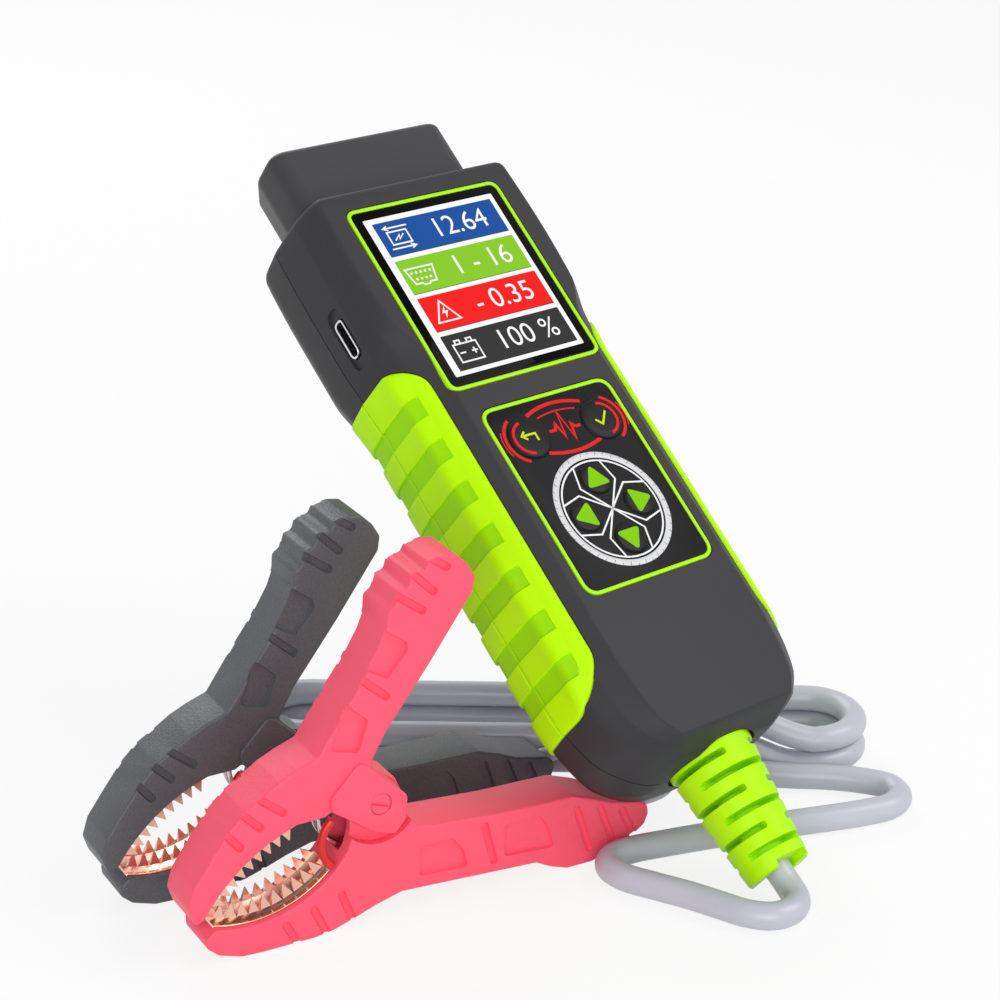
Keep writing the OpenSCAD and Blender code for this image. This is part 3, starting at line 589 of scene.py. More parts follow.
def endTree(tree, shape, given):
    real = addNode(tree, "GeometryNodeRealizeInstances", {"Geometry": shape})
    finish = addNode(tree, "GeometryNodeSetMaterial",
                     {"Geometry": real.outputs["Geometry"], "Material": given.outputs["Finish"]})
    addNode(tree, "NodeGroupOutput", {"Geometry": finish.outputs["Geometry"]})
    return tree


def makeTubeTree():
    tree = startTree("tubeAlongPath", [("Radius", "NodeSocketFloat"), ("Sides", "NodeSocketInt")])
    given = addNode(tree, "NodeGroupInput")
    circle = addNode(tree, "GeometryNodeCurvePrimitiveCircle",
                     {"Resolution": given.outputs["Sides"], "Radius": given.outputs["Radius"]})
    tube = addNode(tree, "GeometryNodeCurveToMesh",
                   {"Curve": given.outputs["Geometry"], "Profile Curve": circle.outputs["Curve"],
                    "Fill Caps": True})
    return endTree(tree, tube.outputs["Mesh"], given)


tubeTree = makeTubeTree()


def setInputs(modifier, values):
    tree = modifier.node_group
    for item in tree.interface.items_tree:
        if item.item_type == "SOCKET" and item.in_out == "INPUT" and item.name in values:
            modifier[item.identifier] = values[item.name]


def growTube(name, path, radius, finish, sides=24, loop=False):
    # path is in millimetres; the tube comes back as a plain mesh
    data = bpy.data.curves.new(name, "CURVE")
    data.dimensions = "3D"
    spline = data.splines.new("POLY")
    spline.points.add(len(path) - 1)
    for point, p in zip(spline.points, path):
        point.co = (*p, 1)
    spline.use_cyclic_u = loop
    carrier = addObject(name + "Path", data)
    modifier = carrier.modifiers.new("tube", "NODES")
    modifier.node_group = tubeTree
    setInputs(modifier, {"Radius": radius, "Sides": sides, "Finish": finishes[finish]})
    return takeMesh(name, carrier)


def smoothPath(points, steps=6):
    # A Catmull-Rom curve through the points
    path = []
    pts = [Vector(p) for p in points]
    for i in range(len(pts) - 1):
        a, b = pts[max(i - 1, 0)], pts[i]
        c, d = pts[i + 1], pts[min(i + 2, len(pts) - 1)]
        for k in range(steps):
            t = k / steps
            path.append(0.5 * (2 * b + (c - a) * t + (2 * a - 5 * b + 4 * c - d) * t * t
                               + (3 * b - a - 3 * c + d) * t ** 3))
    path.append(pts[-1])
    return path


cordSet = {
    "diameter": 4.92,
    "leadDiameter": 2.95,
    "leadEnd": 7.4,
    "bootTip": (0.0, -63.58, 5.0),
    "floor": 2.52,
    "layer": 5.0,
    "hankStart": (44.7, -41.3),
    "hankDir": (-0.744, 0.668),
    "hankRuns": (9.5, 106.0),
    "hankBend": 9.0,
    "turnSteps": 12,
    "nearRun": (44, 60, 76, 92, 99, 103.5),  # closer together by the bends, or the curve kinks there
    "farRun": (103.5, 99, 90, 70, 50, 28, 18, 12),
}


def hankAt(along, back, z):
    (x, y), (dx, dy) = cordSet["hankStart"], cordSet["hankDir"]
    return (x + along * dx + back * dy, y + along * dy - back * dx, z)


# From the boot's tip over the table in front, as (x, y); then along the hank's near side, as (along, back)
cordFront = [
    (-1.5, -69.2), (-4.7, -71.2), (-8.5, -70.5), (-11.3, -67), (-12.9, -61.8), (-14.7, -55.8), (-17.1, -49.6),
    (-18.9, -44.2), (-18.5, -39.9), (-15.4, -37.6), (-10.6, -38.1), (-5.2, -40), (1.6, -42.6), (8.7, -45.6),
    (16.5, -49), (24, -52.4), (30.6, -55.2), (36.2, -56.7), (40.4, -55.2), (42, -51), (39.6, -45.9),
    (36, -41.2),
]
cordJoin = [(13, -5.4), (19, -4.8), (24.5, -3.1), (29.5, -1), (34, 0)]


def hankBendAt(end, z):
    # Half a turn at the far end (1) or at the near end (0)
    near, far = cordSet["hankRuns"]
    bend, steps = cordSet["hankBend"], cordSet["turnSteps"]
    middle, way = (far, 1) if end else (near, -1)
    return [hankAt(middle + way * bend * math.sin(math.pi * i / steps),
                   bend - way * bend * math.cos(math.pi * i / steps), z) for i in range(steps + 1)]


def hankTurns():
    # Two flat turns, one on the other; the cord rises on the near side, above its own first run
    low = cordSet["floor"]
    high = low + cordSet["layer"]
    far = 2 * cordSet["hankBend"]
    nearRun, farRun = cordSet["nearRun"], cordSet["farRun"]
    path = [hankAt(a, 0, low) for a in nearRun] + hankBendAt(1, low)
    path += [hankAt(a, far, low) for a in farRun] + hankBendAt(0, low)
    path += [hankAt(13, 0, low + 0.15), hankAt(16, 0, low + 0.9), hankAt(20, 0, low + 2.6),
             hankAt(24.5, 0, low + 4.2), hankAt(29, 0, high - 0.1), hankAt(34, 0, high)]
    path += [hankAt(a, 0, high) for a in nearRun] + hankBendAt(1, high)
    path += [hankAt(a, far, high) for a in farRun] + hankBendAt(0, high)
    path += [hankAt(14, 0.1, high + 1.2), hankAt(19.5, 0.7, high + 3.4), hankAt(25, 1.6, high + 5.5),
             hankAt(31.4, 2, high + 5.9)]
    return path


def layCords():
    start = Vector(cordSet["bootTip"])
    heading = Vector((0, -math.cos(math.radians(layout["lean"])), -math.sin(math.radians(layout["lean"]))))
    low = cordSet["floor"]
    route = [start - heading * 4.0, start, (-0.2, -66.2, low + 0.8)] + [(x, y, low) for x, y in cordFront]
    route += [hankAt(along, back, low) for along, back in cordJoin] + hankTurns()
    path = smoothPath(route)
    place = tablePlace()
    main = growTube("mainCord", path, cordSet["diameter"] / 2, "cord")
    settle(main, place, "cord", "tester", "cord", ("cord", "cord_coil", "coil_exit"), angle=60)
    return main, [place @ p for p in path]


mainCord, mainPath = layCords()


def pathLength(path):
    return sum((b - a).length for a, b in zip(path, path[1:]))


print("main cord length", round(pathLength(mainPath), 3))


def layLead(name, points, clamp, entry):
    # A lead from the splitter, out over the table, into the end of a clamp's handle
    place = tablePlace()
    turn = math.radians(layout["clampTurn"])
    cx, cy = layout["clamps"][clamp]
    ends = [(cx + s * math.cos(turn), cy + s * math.sin(turn), cordSet["leadEnd"]) for s in entry]
    path = smoothPath(points + ends, 5)
    lead = growTube(name, path, cordSet["leadDiameter"] / 2, "cord", 20)
    settle(lead, place, "cord", "tester", "cord", ("lead_" + clamp,), angle=60)
    return lead, [place @ p for p in path]


blackLead, blackPath = layLead("blackLead", [
    hankAt(37.5, 3.8, 13.4), hankAt(43, 3.8, 13.4), (12, -7.8, 13.2), (8.4, -7.6, 12.7), (4.6, -9.2, 12.1),
    (1.2, -9, 9.8)],
    "black", (57.2, 50))
redLead, redPath = layLead("redLead", [
    hankAt(37.5, 0.2, 13.4), hankAt(43, 0.2, 13.4), (10, -11.4, 13.2), (7.4, -13.4, 12.3), (6.4, -16.9, 10.9),
    (7.4, -20.6, 9.4), (8.2, -24.4, 8.4), (6.8, -28.2, 7.7), (3.4, -30.9, 7.4)], "red", (57, 50))
for lead, path in ((blackLead, blackPath), (redLead, redPath)):
    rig.cord(lead, exit=path[0], length=round(pathLength(path), 3), diameter=cordSet["leadDiameter"] * mm,
            far_end="object", stiffness="medium", lay="loose", path=path)
print("leads", round(pathLength(blackPath), 3), round(pathLength(redPath), 3))

splitterSet = {"from": 31, "to": 43, "back": 2, "low": 10.8, "high": 16, "wideIn": 6, "wideOut": 8,
               "corner": 1.6}
tieSet = {"along": 38, "wide": 5, "thick": 0.75, "top": 10.8, "middle": 9, "half": 12.3}


def makeSplitter():
    s = splitterSet
    rings = []
    for along, grow in ((s["from"], 0.7), (s["from"] + 0.7, 0.95), (s["from"] + 2, 1), (s["to"] - 2, 1),
                        (s["to"] - 0.7, 0.95), (s["to"], 0.7)):
        share = (along - s["from"]) / (s["to"] - s["from"])
        wide = (s["wideIn"] + (s["wideOut"] - s["wideIn"]) * share) * grow
        tall = (s["high"] - s["low"]) * grow
        middle = (s["high"] + s["low"]) / 2
        loop = boxLoop(wide, tall, s["corner"] * grow)
        rings.append([hankAt(along, s["back"] + p.x, middle + p.y) for p in loop])
    return settle(loft("cordSplitter", rings), tablePlace(), "dark", "tester", "black_part", ("splitter",))


def makeTie():
    # A strap round both sides of the hank
    t = tieSet
    loops = [boxLoop(2 * t["half"] - 2 * thin, t["top"] - 2 * thin, 2.1 - thin, t["middle"], t["top"] / 2, 6)
             for thin in (0, t["thick"])]
    rings = []
    for loop, shift in ((loops[0], -0.5), (loops[0], 0.5), (loops[1], 0.5), (loops[1], -0.5)):
        rings.append([hankAt(t["along"] + t["wide"] * shift, p.x, max(p.y, 0.02)) for p in loop])
    tie = loft("hankTie", rings, closedRound=True)
    return settle(tie, tablePlace(), "dark", "tester", "black_part", ("coil_tie",))


splitterPiece = makeSplitter()
tiePiece = makeTie()
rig.cord(mainCord, exit=tablePlace() @ Vector(cordSet["bootTip"]), length=round(pathLength(mainPath), 3),
        diameter=cordSet["diameter"] * mm, far_end="object", stiffness="medium", lay="coiled",
        with_pieces=[tiePiece, splitterPiece], path=mainPath)


casingSet = {
    "rings": [  # along, half face, half width, face height, back height
        [50, 20.6, 23.1, -0.9, -28.3], [49.75, 21.35, 23.95, -0.4, -28.8], [49.2, 21.9, 24.5, -0.1, -29.1],
        [48.4, 22.2, 24.8, 0, -29.2], [36, 22.5, 25.2, 0, -29.2], [22, 21.8, 25.2, 0, -29.2],
        [14.5, 18.55, 24.6, 0, -28.2], [6, 17.4, 24, 0, -27.5], [-51.5, 17.4, 24, 0, -27.5],
        [-56.5, 17.1, 23.6, 0, -27.5], [-64, 16, 21.4, 0, -27.5], [-68.3, 13.6, 17.6, 0, -27],
        [-70.7, 11.8, 14, -5, -25.5], [-71.3, 10.9, 12.2, -6.4, -24], [-71.5, 10.2, 11.2, -7.2, -23.3]],
    "radii": [1.4, 3.0, 3.2, 8.0, 8.0, 2.6, 2.4],
    "middle": -10.75, "halfLong": 60.75, "parting": -15.2, "seam": 0.24, "wall": 2.0,
    "screws": [(16, 3), (-16, 3), (14.5, -58), (-14.5, -58)],
    "usb": (25.2, -9.5), "usbBore": (8.3, 3.3, 1.4), "usbDent": (12.4, 4.2, 2.05),
    "bootHole": [(0, -60), (6.4, -60), (6.4, -70.3), (8.9, -70.3), (8.9, -76), (0, -76)],
    "screwWell": [(0, -40), (2.5, -40), (2.5, -25.4), (0, -25.4)],
}


def steadyTable(rows):
    # Smooth values between rows of [position, values...], with no overshoot
    where = [row[0] for row in rows]

    def slopes(column):
        d = [(b[column] - a[column]) / (b[0] - a[0]) for a, b in zip(rows, rows[1:])]
        return [d[0]] + [0.0 if a * b <= 0 else 2 * a * b / (a + b) for a, b in zip(d, d[1:])] + [d[-1]]

    tangents = [slopes(column) for column in range(1, len(rows[0]))]

    def at(y):
        y = min(max(y, min(where)), max(where))
        i = next(k for k, (a, b) in enumerate(zip(where, where[1:])) if min(a, b) <= y <= max(a, b))
        h = where[i + 1] - where[i]
        t = (y - where[i]) / h
        values = []
        for column in range(1, len(rows[0])):
            a, b = rows[i][column], rows[i + 1][column]
            ma, mb = tangents[column - 1][i] * h, tangents[column - 1][i + 1] * h
            values.append((2 * t ** 3 - 3 * t * t + 1) * a + (t ** 3 - 2 * t * t + t) * ma
                          + (3 * t * t - 2 * t ** 3) * b + (t ** 3 - t * t) * mb)
        return values

    return at


casingAt = steadyTable(casingSet["rings"])


def sectionCorners(y, g=0.0):
    r1, r2, face, back = casingAt(y)
    middle = casingSet["parting"]
    return [
        (r1 + 0.4 * g, face + g), (r1 + 0.55 * (r2 - r1) + 0.8 * g, face - 2.6 + 0.6 * g),
        (r2 - 0.3 + g, face - 6.2 + 0.2 * g), (r2 + g, middle), (r2 - 1 + g, middle - 0.57 * (middle - back)),
        (r2 - 3.4 + 0.8 * g, back + 2.6 - 0.6 * g), (r2 - 5.2 + 0.4 * g, back - g)]


def sectionLoop(y, g=0.0):
    half = sectionCorners(y, g)
    corners = half + [(-x, z) for x, z in reversed(half)]
    return roundLoop(corners, casingSet["radii"] + casingSet["radii"][::-1], 4)


def spread(start, end, step):
    count = max(1, round(abs(end - start) / step))
    return [start + (end - start) * i / count for i in range(count)]


def casingLoft(name, g=0.0):
    ys = [50, 49.93, 49.8, 49.6, 49.3, 48.9] + spread(48.4, 36, 3) + spread(36, 6, 1.2) + spread(6, -51, 4)
    ys += spread(-51, -66, 1.2) + spread(-66, -71.5, 0.3) + [-71.5]
    if g:
        ys = spread(50, 36, 4) + spread(36, 6, 2) + spread(6, -51, 8) + spread(-51, -71.5, 2) + [-71.5]
    middle, half = casingSet["middle"], casingSet["halfLong"]
    scale = (half + g) / half
    rings = [[(p.x, middle + (y - middle) * scale, p.y) for p in sectionLoop(y, g)] for y in ys]
    return loft(name, rings)


gripSet = {
    "top": 14.6, "end": -57.1, "front": -1.7, "back": -25.1,
    "cornerTop": 6.0, "cornerEnd": 9.0,
    "rise": 0.6, "sink": 1.15, "roll": 0.35,
    "channels": 7, "pitch": 9.1, "channelWide": 4.1, "firstChannel": 7.7, "channelDeep": 0.5,
    "channelStart": 2.2,
    "groove": 0.15, "ridge": -6.0, "ridgeHalf": 2.8, "ridgeHigh": 0.5,
    # where the mesh has its lines, closest at the rims, the channels' ends and the parting line
    "edgeSteps": (0, 0.03, 0.08, 0.15, 0.24, 0.35, 0.7), "startSteps": (-0.12, 0, 0.12, 0.3),
    "lineSteps": (-0.2, -0.1, 0, 0.1, 0.2),
    "columns": (1.3, 1.8, 2.9, 3.4, 3.7, 4.0, 4.2, 4.4, 4.6, 5.0, 5.7, 6.6, 7.8, 9, 10.3, 11.6, 12.8,
                14.4, 15.4, 16.6, 17.8, 18.9, 19.9, 20.8, 21.5, 22.0),
}


def gripFront(y, margin=0.0):
    # Height of the grip's front edge, with its two rounded corners
    g = gripSet
    front, top, end = g["front"] + margin, g["top"] + margin, g["end"] - margin
    for corner, radius in ((top, g["cornerTop"]), (end, g["cornerEnd"])):
        inside = radius - abs(corner - y)
        if inside > 0:
            return front - (radius - math.sqrt(max(0.0, radius ** 2 - inside ** 2)))
    return front


def gripGrid(name, side, margin, heightAt, under):
    g = gripSet
    top, end, back = g["top"] + margin, g["end"] - margin, g["back"] - margin
    edge, start = g["edgeSteps"], g["channelStart"]
    fine = margin == 0
    rows = [top - e for e in edge] + [end + e for e in edge]
    rows += [top - e for e in (1.6, 2.2, 3, 4, 5, 6)] + [end + e for e in (1.6, 2.2, 3, 4, 5, 6, 7, 8, 9)]
    for i in range(g["channels"]):
        high = g["firstChannel"] - i * g["pitch"]
        low = high - g["channelWide"]
        if fine:
            for y in (high, low):
                rows += [y - 0.3, y - 0.1, y, y + 0.1, y + 0.3]
            rows += [high - 1, high - 1.95, low + 1, high + 1, high + 2, high + 3, high + 4.1]
        else:
            rows += [high, low]
    rows = sorted({round(y, 3) for y in rows if end <= y <= top}, reverse=True)
    rows = [y for i, y in enumerate(rows) if i == 0 or i == len(rows) - 1 or rows[i - 1] - y > 0.05]
    middle = g["front"] - casingSet["parting"]
    deep = [*edge, *g["columns"], *(start + e for e in g["startSteps"]),
            *(middle + e for e in g["lineSteps"])]
    deep.sort()
    total = g["front"] - g["back"]
    deep += [total - e for e in reversed(edge)]
    tops, unders = [], []
    for y in rows:
        front = gripFront(y, margin)
        loop = sectionLoop(y)
        half = loop[:len(loop) // 2]
        ends = min(top - y, y - end)
        topRow, underRow = [], []
        for d in deep:
            if d < middle - 0.2:
                z = front - d * (front - casingSet["parting"] - 0.2) / (middle - 0.2)
            else:
                z = casingSet["parting"] + (middle - d) * (casingSet["parting"] - back) / (total - middle)
            k = next((i for i in range(len(half) - 1) if half[i + 1].y <= z <= half[i].y), len(half) - 2)
            a, b = half[k], half[k + 1]
            t = (z - a.y) / (b.y - a.y)
            before, after = half[max(k - 1, 0)], half[min(k + 2, len(half) - 1)]
            along = (b - before).normalized() * (1 - t) + (after - a).normalized() * t
            normal = Vector((-along.y, along.x)).normalized()
            p = a + (b - a) * t
            slope = abs(gripFront(y - 0.05, margin) - gripFront(y + 0.05, margin)) / 0.1
            edgeGap = min((front - z) * 1.15 / math.sqrt(1 + slope * slope), ends, z - back)
            h = heightAt(y, z, edgeGap, front)
            q = p + normal * h
            u = p + normal * under
            topRow.append((side * q.x, y, q.y))
            underRow.append((side * u.x, y, u.y))
        tops.append(topRow)
        unders.append(underRow)
    # a closed strip: each row is a ring over the top and back along the underside
    rings = [t + u[::-1] for t, u in zip(tops, unders)]
    return loft(name, rings)


def softStep(value, middle, half):
    t = min(1.0, max(0.0, (value - middle + half) / (2 * half)))
    return t * t * (3 - 2 * t)


def gripHeight(y, z, gap, front):
    g = gripSet
    rim = min(1.0, gap / g["roll"])
    height = -0.5 + (g["rise"] + 0.5) * math.sqrt(max(0.0, 1 - (1 - rim) ** 2))
    fromRidge = (z - g["ridge"]) / g["ridgeHalf"]
    height += g["ridgeHigh"] * max(0.0, 1 - math.sqrt(fromRidge ** 2 + 0.015)) * min(1.0, gap / 3.0)
    away = abs(z - casingSet["parting"])
    if away < 0.2:
        height -= g["groove"] * (1 - away / 0.2)
    deepest = 0.0
    for i in range(g["channels"]):
        high = g["firstChannel"] - i * g["pitch"]
        inside = min(high - y, y - high + g["channelWide"])
        if inside > -0.3:
            mask = softStep(inside, 0.0, 0.1) * softStep(front - z, g["channelStart"], 0.1)
            deepest = max(deepest, mask)
    return height - g["channelDeep"] * deepest


def inChannel(y, z):
    g = gripSet
    front = gripFront(y)
    return front - z > g["channelStart"] and any(
        0 < g["firstChannel"] - i * g["pitch"] - y < g["channelWide"] for i in range(g["channels"]))


def makeGrips():
    pieces = []
    for side, node in ((-1, "grip_left"), (1, "grip_right")):
        grip = gripGrid("rubberGripLeft" if side < 0 else "rubberGripRight", side, 0.0, gripHeight,
                        -gripSet["sink"])
        middles = [face.center.copy() for face in grip.data.polygons]
        fit(grip, "grip", "grip", node, angle=42)
        grip.data.materials.append(finishes["channel"])
        grip.data.materials.append(finishes["groove"])
        # faces in the channels take the darker channel finish, painted shade in the recesses
        for face, middle in zip(grip.data.polygons, middles):
            face.material_index = 1 if inChannel(middle.y, middle.z) else 0
            # faces along the parting-line groove take the darker groove finish, painted shade in the groove
            if abs(middle.z - casingSet["parting"]) < 0.1:
                face.material_index = 2
        pieces.append(grip)
    return pieces


screenSet = {"wide": 34.4, "long": 39.2, "low": 5.7, "border": 0.8, "thick": 0.95, "corner": 1.5,
             "proud": 0.12}
padSet = {"wide": 29.2, "long": 38.4, "top": -0.8, "border": 0.8, "thick": 0.6, "corner": 2.4, "proud": 0.12}
keySet = {
    "back": (-8.2, -7.8, 8.6), "ok": (8.8, -8.2, 8.6), "up": (0, -19, 6.4), "down": (0, -31.8, 6.4),
    "left": (-6.4, -25.4, 6.4), "right": (6.4, -25.4, 6.4),
    "flange": (-2.06, -2.76), "stem": 1.2, "foot": -7.3,
    "rise": 0.35, "line": 0.42, "sign": 0.05, "arrow": [(2.75, -1.65), (0, 2.8), (-2.75, -1.65)],
}
keyNames = ("back", "ok", "up", "down", "left", "right")
screenMiddle = (0, screenSet["low"] + screenSet["long"] / 2)
padMiddle = (0, padSet["top"] - padSet["long"] / 2)


def borderLoops(s, middle, grow=0.0):
    outer = boxLoop(s["wide"] + 2 * s["border"] + 2 * grow, s["long"] + 2 * s["border"] + 2 * grow,
                    s["corner"] + s["border"] + grow, *middle, 8)
    inner = boxLoop(s["wide"] + 0.04, s["long"] + 0.04, s["corner"], *middle, 8)
    return outer, inner


plugSet = {"wide": 40.5, "backWide": 32, "thick": 16.8, "z": -6.5, "from": 44, "to": 65.5, "wall": 1.5,
           "floor": 54.5,
           "corner": 3.2, "backCorner": 2.6,
           "pinRows": (-10.7, -18.7), "pins": 8, "pinPitch": 3.61, "pin": (1.5, 0.8, 0.12), "pinTip": 63}


def plugLoop(inset):
    s = plugSet
    w, b, t = s["wide"] / 2 - inset, s["backWide"] / 2 - inset, s["thick"] - inset
    half = [(w, -inset), (w - 0.3, -s["thick"] * 0.5), (b, -t)]
    radii = [max(s["corner"] - inset * 0.6, 0.8), 5, max(s["backCorner"] - inset * 0.5, 0.8)]
    corners = half + [(-x, z) for x, z in reversed(half)]
    return [(p.x, p.y + s["z"]) for p in roundLoop(corners, radii + radii[::-1], 6)]


def pinPlaces():
    s = plugSet
    return [((i - (s["pins"] - 1) / 2) * s["pinPitch"], row) for row in s["pinRows"]
            for i in range(s["pins"])]


def plugBlock(name, inset, low, high):
    return loft(name, [[(x, y, z) for x, z in plugLoop(inset)] for y in (low, high)])


def boxPiece(name, low, high):
    (x0, y0, z0), (x1, y1, z1) = low, high
    return loft(name, [[(x0, y0, z), (x1, y0, z), (x1, y1, z), (x0, y1, z)] for z in (z0, z1)])


def turned(name, profile, middle, axis="z", count=48):
    # A closed solid of revolution; profile is (radius, height) from the axis out and back to it
    rings = []
    for i in range(count):
        a = 2 * math.pi * i / count
        ring = []
        for r, h in profile:
            u, v = r * math.cos(a), r * math.sin(a)
            p = (u, v, h) if axis == "z" else (u, h, v)
            ring.append(Vector(middle) + Vector(p))
        rings.append(ring)
    return loft(name, rings, closedRound=True)


def makeCasing():
    shell = casingLoft("casingShell")
    carve(shell, casingLoft("casingInside", -casingSet["wall"]))
    for side in (-1, 1):
        carve(shell, gripGrid("gripCut", side, 0.06, lambda *a: 2.6, -1.22))
    for s, middle, deep in ((screenSet, screenMiddle, 1.05), (padSet, padMiddle, 0.7)):
        carve(shell, slab("pocket", borderLoops(s, middle, 0.18)[0], -deep, 4))
    for name in keyNames:
        x, y, d = keySet[name]
        carve(shell, slab("keyHole", circleLoop(d / 2 + 0.12, x, y, 40), -7, 3))
    carve(shell, plugBlock("plugHole", -0.12, 42, 54))
    carve(shell, turned("bootHole", casingSet["bootHole"], (0, 0, -12.9), "y", 64))
    y, z = casingSet["usb"]
    carve(shell, loft("usbHole", [[(x, y + p.x, z + p.y) for p in boxLoop(*casingSet["usbBore"])]
                                  for x in (-30, -18)]))
    dent = loft("usbDent", [[(x, y + p.x * k, z + p.y * k) for p in boxLoop(*casingSet["usbDent"])]
                            for x, k in ((-30, 1.2), (-24.45, 1.0))])
    carve(shell, dent)
    for x, y in casingSet["screws"]:
        carve(shell, turned("screwWell", casingSet["screwWell"], (x, y, 0), "z", 32))
    rear = addObject("rearCasing", shell.data.copy())
    level, seam = casingSet["parting"], casingSet["seam"] / 2
    carve(shell, boxPiece("below", (-40, -90, -60), (40, 70, level + seam)))
    carve(rear, boxPiece("above", (-40, -90, level - seam), (40, 70, 20)))
    shell.name = "frontCasing"
    fit(shell, "casing", "casing", "front_shell", angle=30)
    fit(rear, "casing", "casing", "rear_shell", angle=30)
    return shell, rear


makeCasing()
makeGrips()
print("casing and grips made")


def platePiece(name, s, middle, edge):
    # The flat piece that a border runs round
    loop = boxLoop(s["wide"], s["long"], s["corner"], *middle, 8)
    return slab(name, loop, -s["thick"], 0.0, edge=edge)


def makeBorder(name, s, middle, node):
    ring = frameRing(name, *borderLoops(s, middle), -s["thick"], s["proud"], 0.2)
    return fit(ring, "border", "border", node)


makeBorder("screenBorder", screenSet, screenMiddle, "screen_border")
makeBorder("keypadBorder", padSet, padMiddle, "keypad_border")
glass = platePiece("screenGlassPlate", screenSet, screenMiddle, 0.12)
fit(glass, "glass", "glass", "screen_glass")

displaySet = {
    "half": 15.3, "low": 7.6, "high": 43.0, "left": -13.8, "right": 14.3,
    "bars": [("litBlue", 34.4, 41.9, "12.64"), ("litGreen", 25.8, 33.3, "1 - 16"),
             ("litRed", 17.3, 24.8, "- 0.35"), ("litDark", 8.6, 16.2, "100 %")],
    "letter": 6.0, "line": 0.32, "shade": 0.12,
    "baseTop": 0.015, "shadeTop": 0.022, "barTop": 0.028, "signTop": 0.042,
}


def textPiece(body, size, x, y, low, high, thin=0.0):
    data = bpy.data.curves.new("label", "FONT")
    data.body = body
    data.size = size
    data.align_x = "CENTER"
    data.align_y = "CENTER"
    data.extrude = (high - low) / 2
    data.offset = thin
    piece = takeMesh("label", addObject("label", data))
    piece.data.transform(Matrix.Translation((x, y, (low + high) / 2)))
    return piece


def flipped(points):
    return [(-px, -py) for px, py in points]


arrowLine = [(2.9, 2.3), (-2.4, 2.3)]
arrowHead = [(-1.5, 1.8), (-2.6, 2.3), (-1.5, 2.8)]
# each icon's lines, as (points, share of the line's width, closed), then its filled shapes
icons = [
    # a box between two arrows
    ([([(-2.2, -1.4), (2.2, -1.4), (2.2, 1.4), (-2.2, 1.4)], 1, True),
      ([(-1.2, -0.6), (0.2, 0.5), (-0.1, -0.4), (1.2, 0.6)], 0.8, False),
      (flipped(arrowLine), 1, False), (flipped(arrowHead), 0.8, False),
      (arrowLine, 1, False), (arrowHead, 0.8, False)], []),
    # a socket with two rows of holes
    ([([(-3.2, 1.6), (3.2, 1.6), (2.4, -1.8), (0.9, -1.8), (0.6, -2.2), (-0.6, -2.2), (-0.9, -1.8),
        (-2.4, -1.8)], 1, True)],
     [circleLoop(0.27, (i - (count - 1) / 2) * 1.05, y, 12) for y, count in ((0.6, 5), (-0.8, 4))
      for i in range(count)]),
    # a bolt in a triangle
    ([([(-2.6, -2.1), (2.6, -2.1), (0, 2.4)], 1, True)],
     [[(0.35, 1.1), (-0.75, -0.35), (-0.05, -0.3), (-0.35, -1.5), (0.75, 0.1), (0.05, 0.05)]]),
    # a battery with its two posts and signs
    ([([(-2.6, -2.3), (2.6, -2.3), (2.6, 1.5), (-2.6, 1.5)], 1, True),
      *[([(side * 1.9, 1.5), (side * 1.9, 2.3), (side * 0.8, 2.3), (side * 0.8, 1.5)], 1, False)
        for side in (-1, 1)],
      *[(ends, 1, False) for ends in ([(-2, -0.4), (-0.7, -0.4)], [(0.7, -0.4), (2, -0.4)],
                                      [(1.35, -1.05), (1.35, 0.25)])]], []),
]


def drawIcon(icon, x, y, low, high, width):
    lines, fills = icon
    parts = [stroke(shiftPoints(points, x, y), width * share, low, high, closed=closed)
             for points, share, closed in lines]
    return parts + [slab("fill", shiftPoints(shape, x, y), low, high) for shape in fills]


def makeDisplay():
    d = displaySet
    left, right, middle = d["left"], d["right"], (d["low"] + d["high"]) / 2
    base = slab("displayWhite", boxLoop(2 * d["half"], d["high"] - d["low"], 0.25, 0, middle, 2),
                0.0, d["baseTop"])
    fit(base, "litWhite", "display")
    signs = []
    for (finish, low, high, label), icon in zip(d["bars"], icons):
        half = (low + high) / 2
        bar = slab("bar_" + finish, boxLoop(right - left, high - low, 0.2, (left + right) / 2, half, 2),
                   d["baseTop"], d["barTop"])
        fit(bar, finish, "display")
        signs += drawIcon(icon, left + 4.2, half, d["barTop"], d["signTop"], d["line"])
        signs.append(textPiece(label, d["letter"], 4.6, half, d["barTop"], d["signTop"], thin=-0.02))
        under = low - d["shade"]
        shadow = slab("barShade_" + finish, [(left, under), (right, under), (right, low), (left, low)],
                      d["baseTop"], d["shadeTop"])
        fit(shadow, "litLine", "display")
    symbols = joinPieces("displaySymbols", signs)
    fit(symbols, "litWhite", "display")


makeDisplay()
print("screen made")


def makeKeypad():
    sheet = platePiece("keypadFilm", padSet, padMiddle, 0.08)
    for name in keyNames:
        x, y, d = keySet[name]
        carve(sheet, slab("keyHole", circleLoop(d / 2 + 0.06, x, y, 48), -2, 2))
    fit(sheet, "sheet", "keypad", "keypad_sheet", angle=30)


def keyBody(name):
    x, y, d = keySet[name]
    r, rise, stem, foot = d / 2, keySet["rise"], keySet["stem"], keySet["foot"]
    top, under = keySet["flange"]
    profile = [(0, rise), (r * 0.55, rise), (r - 0.45, rise - 0.04), (r - 0.12, rise - 0.14),
               (r, rise - 0.32),
               (r, top), (r + 0.55, top), (r + 0.55, under), (stem, under), (stem, foot), (0, foot)]
    return turned("key" + name.capitalize(), profile, (x, y, 0), "z", 48)


def keySign(name, shape, finish):
    # A printed sign on a key, carried by the key
    low = keySet["rise"] - 0.01
    high = low + keySet["sign"]
    points = shiftPoints(shape, *keySet[name][:2])
    label = "sign" + name.capitalize()
    if finish == "limePrint":
        piece = slab(label, points, low, high)
    else:
        piece = stroke(points, keySet["line"], low, high, label)
    return settle(piece, testerPlace(), finish, "key_" + name, "arrow")


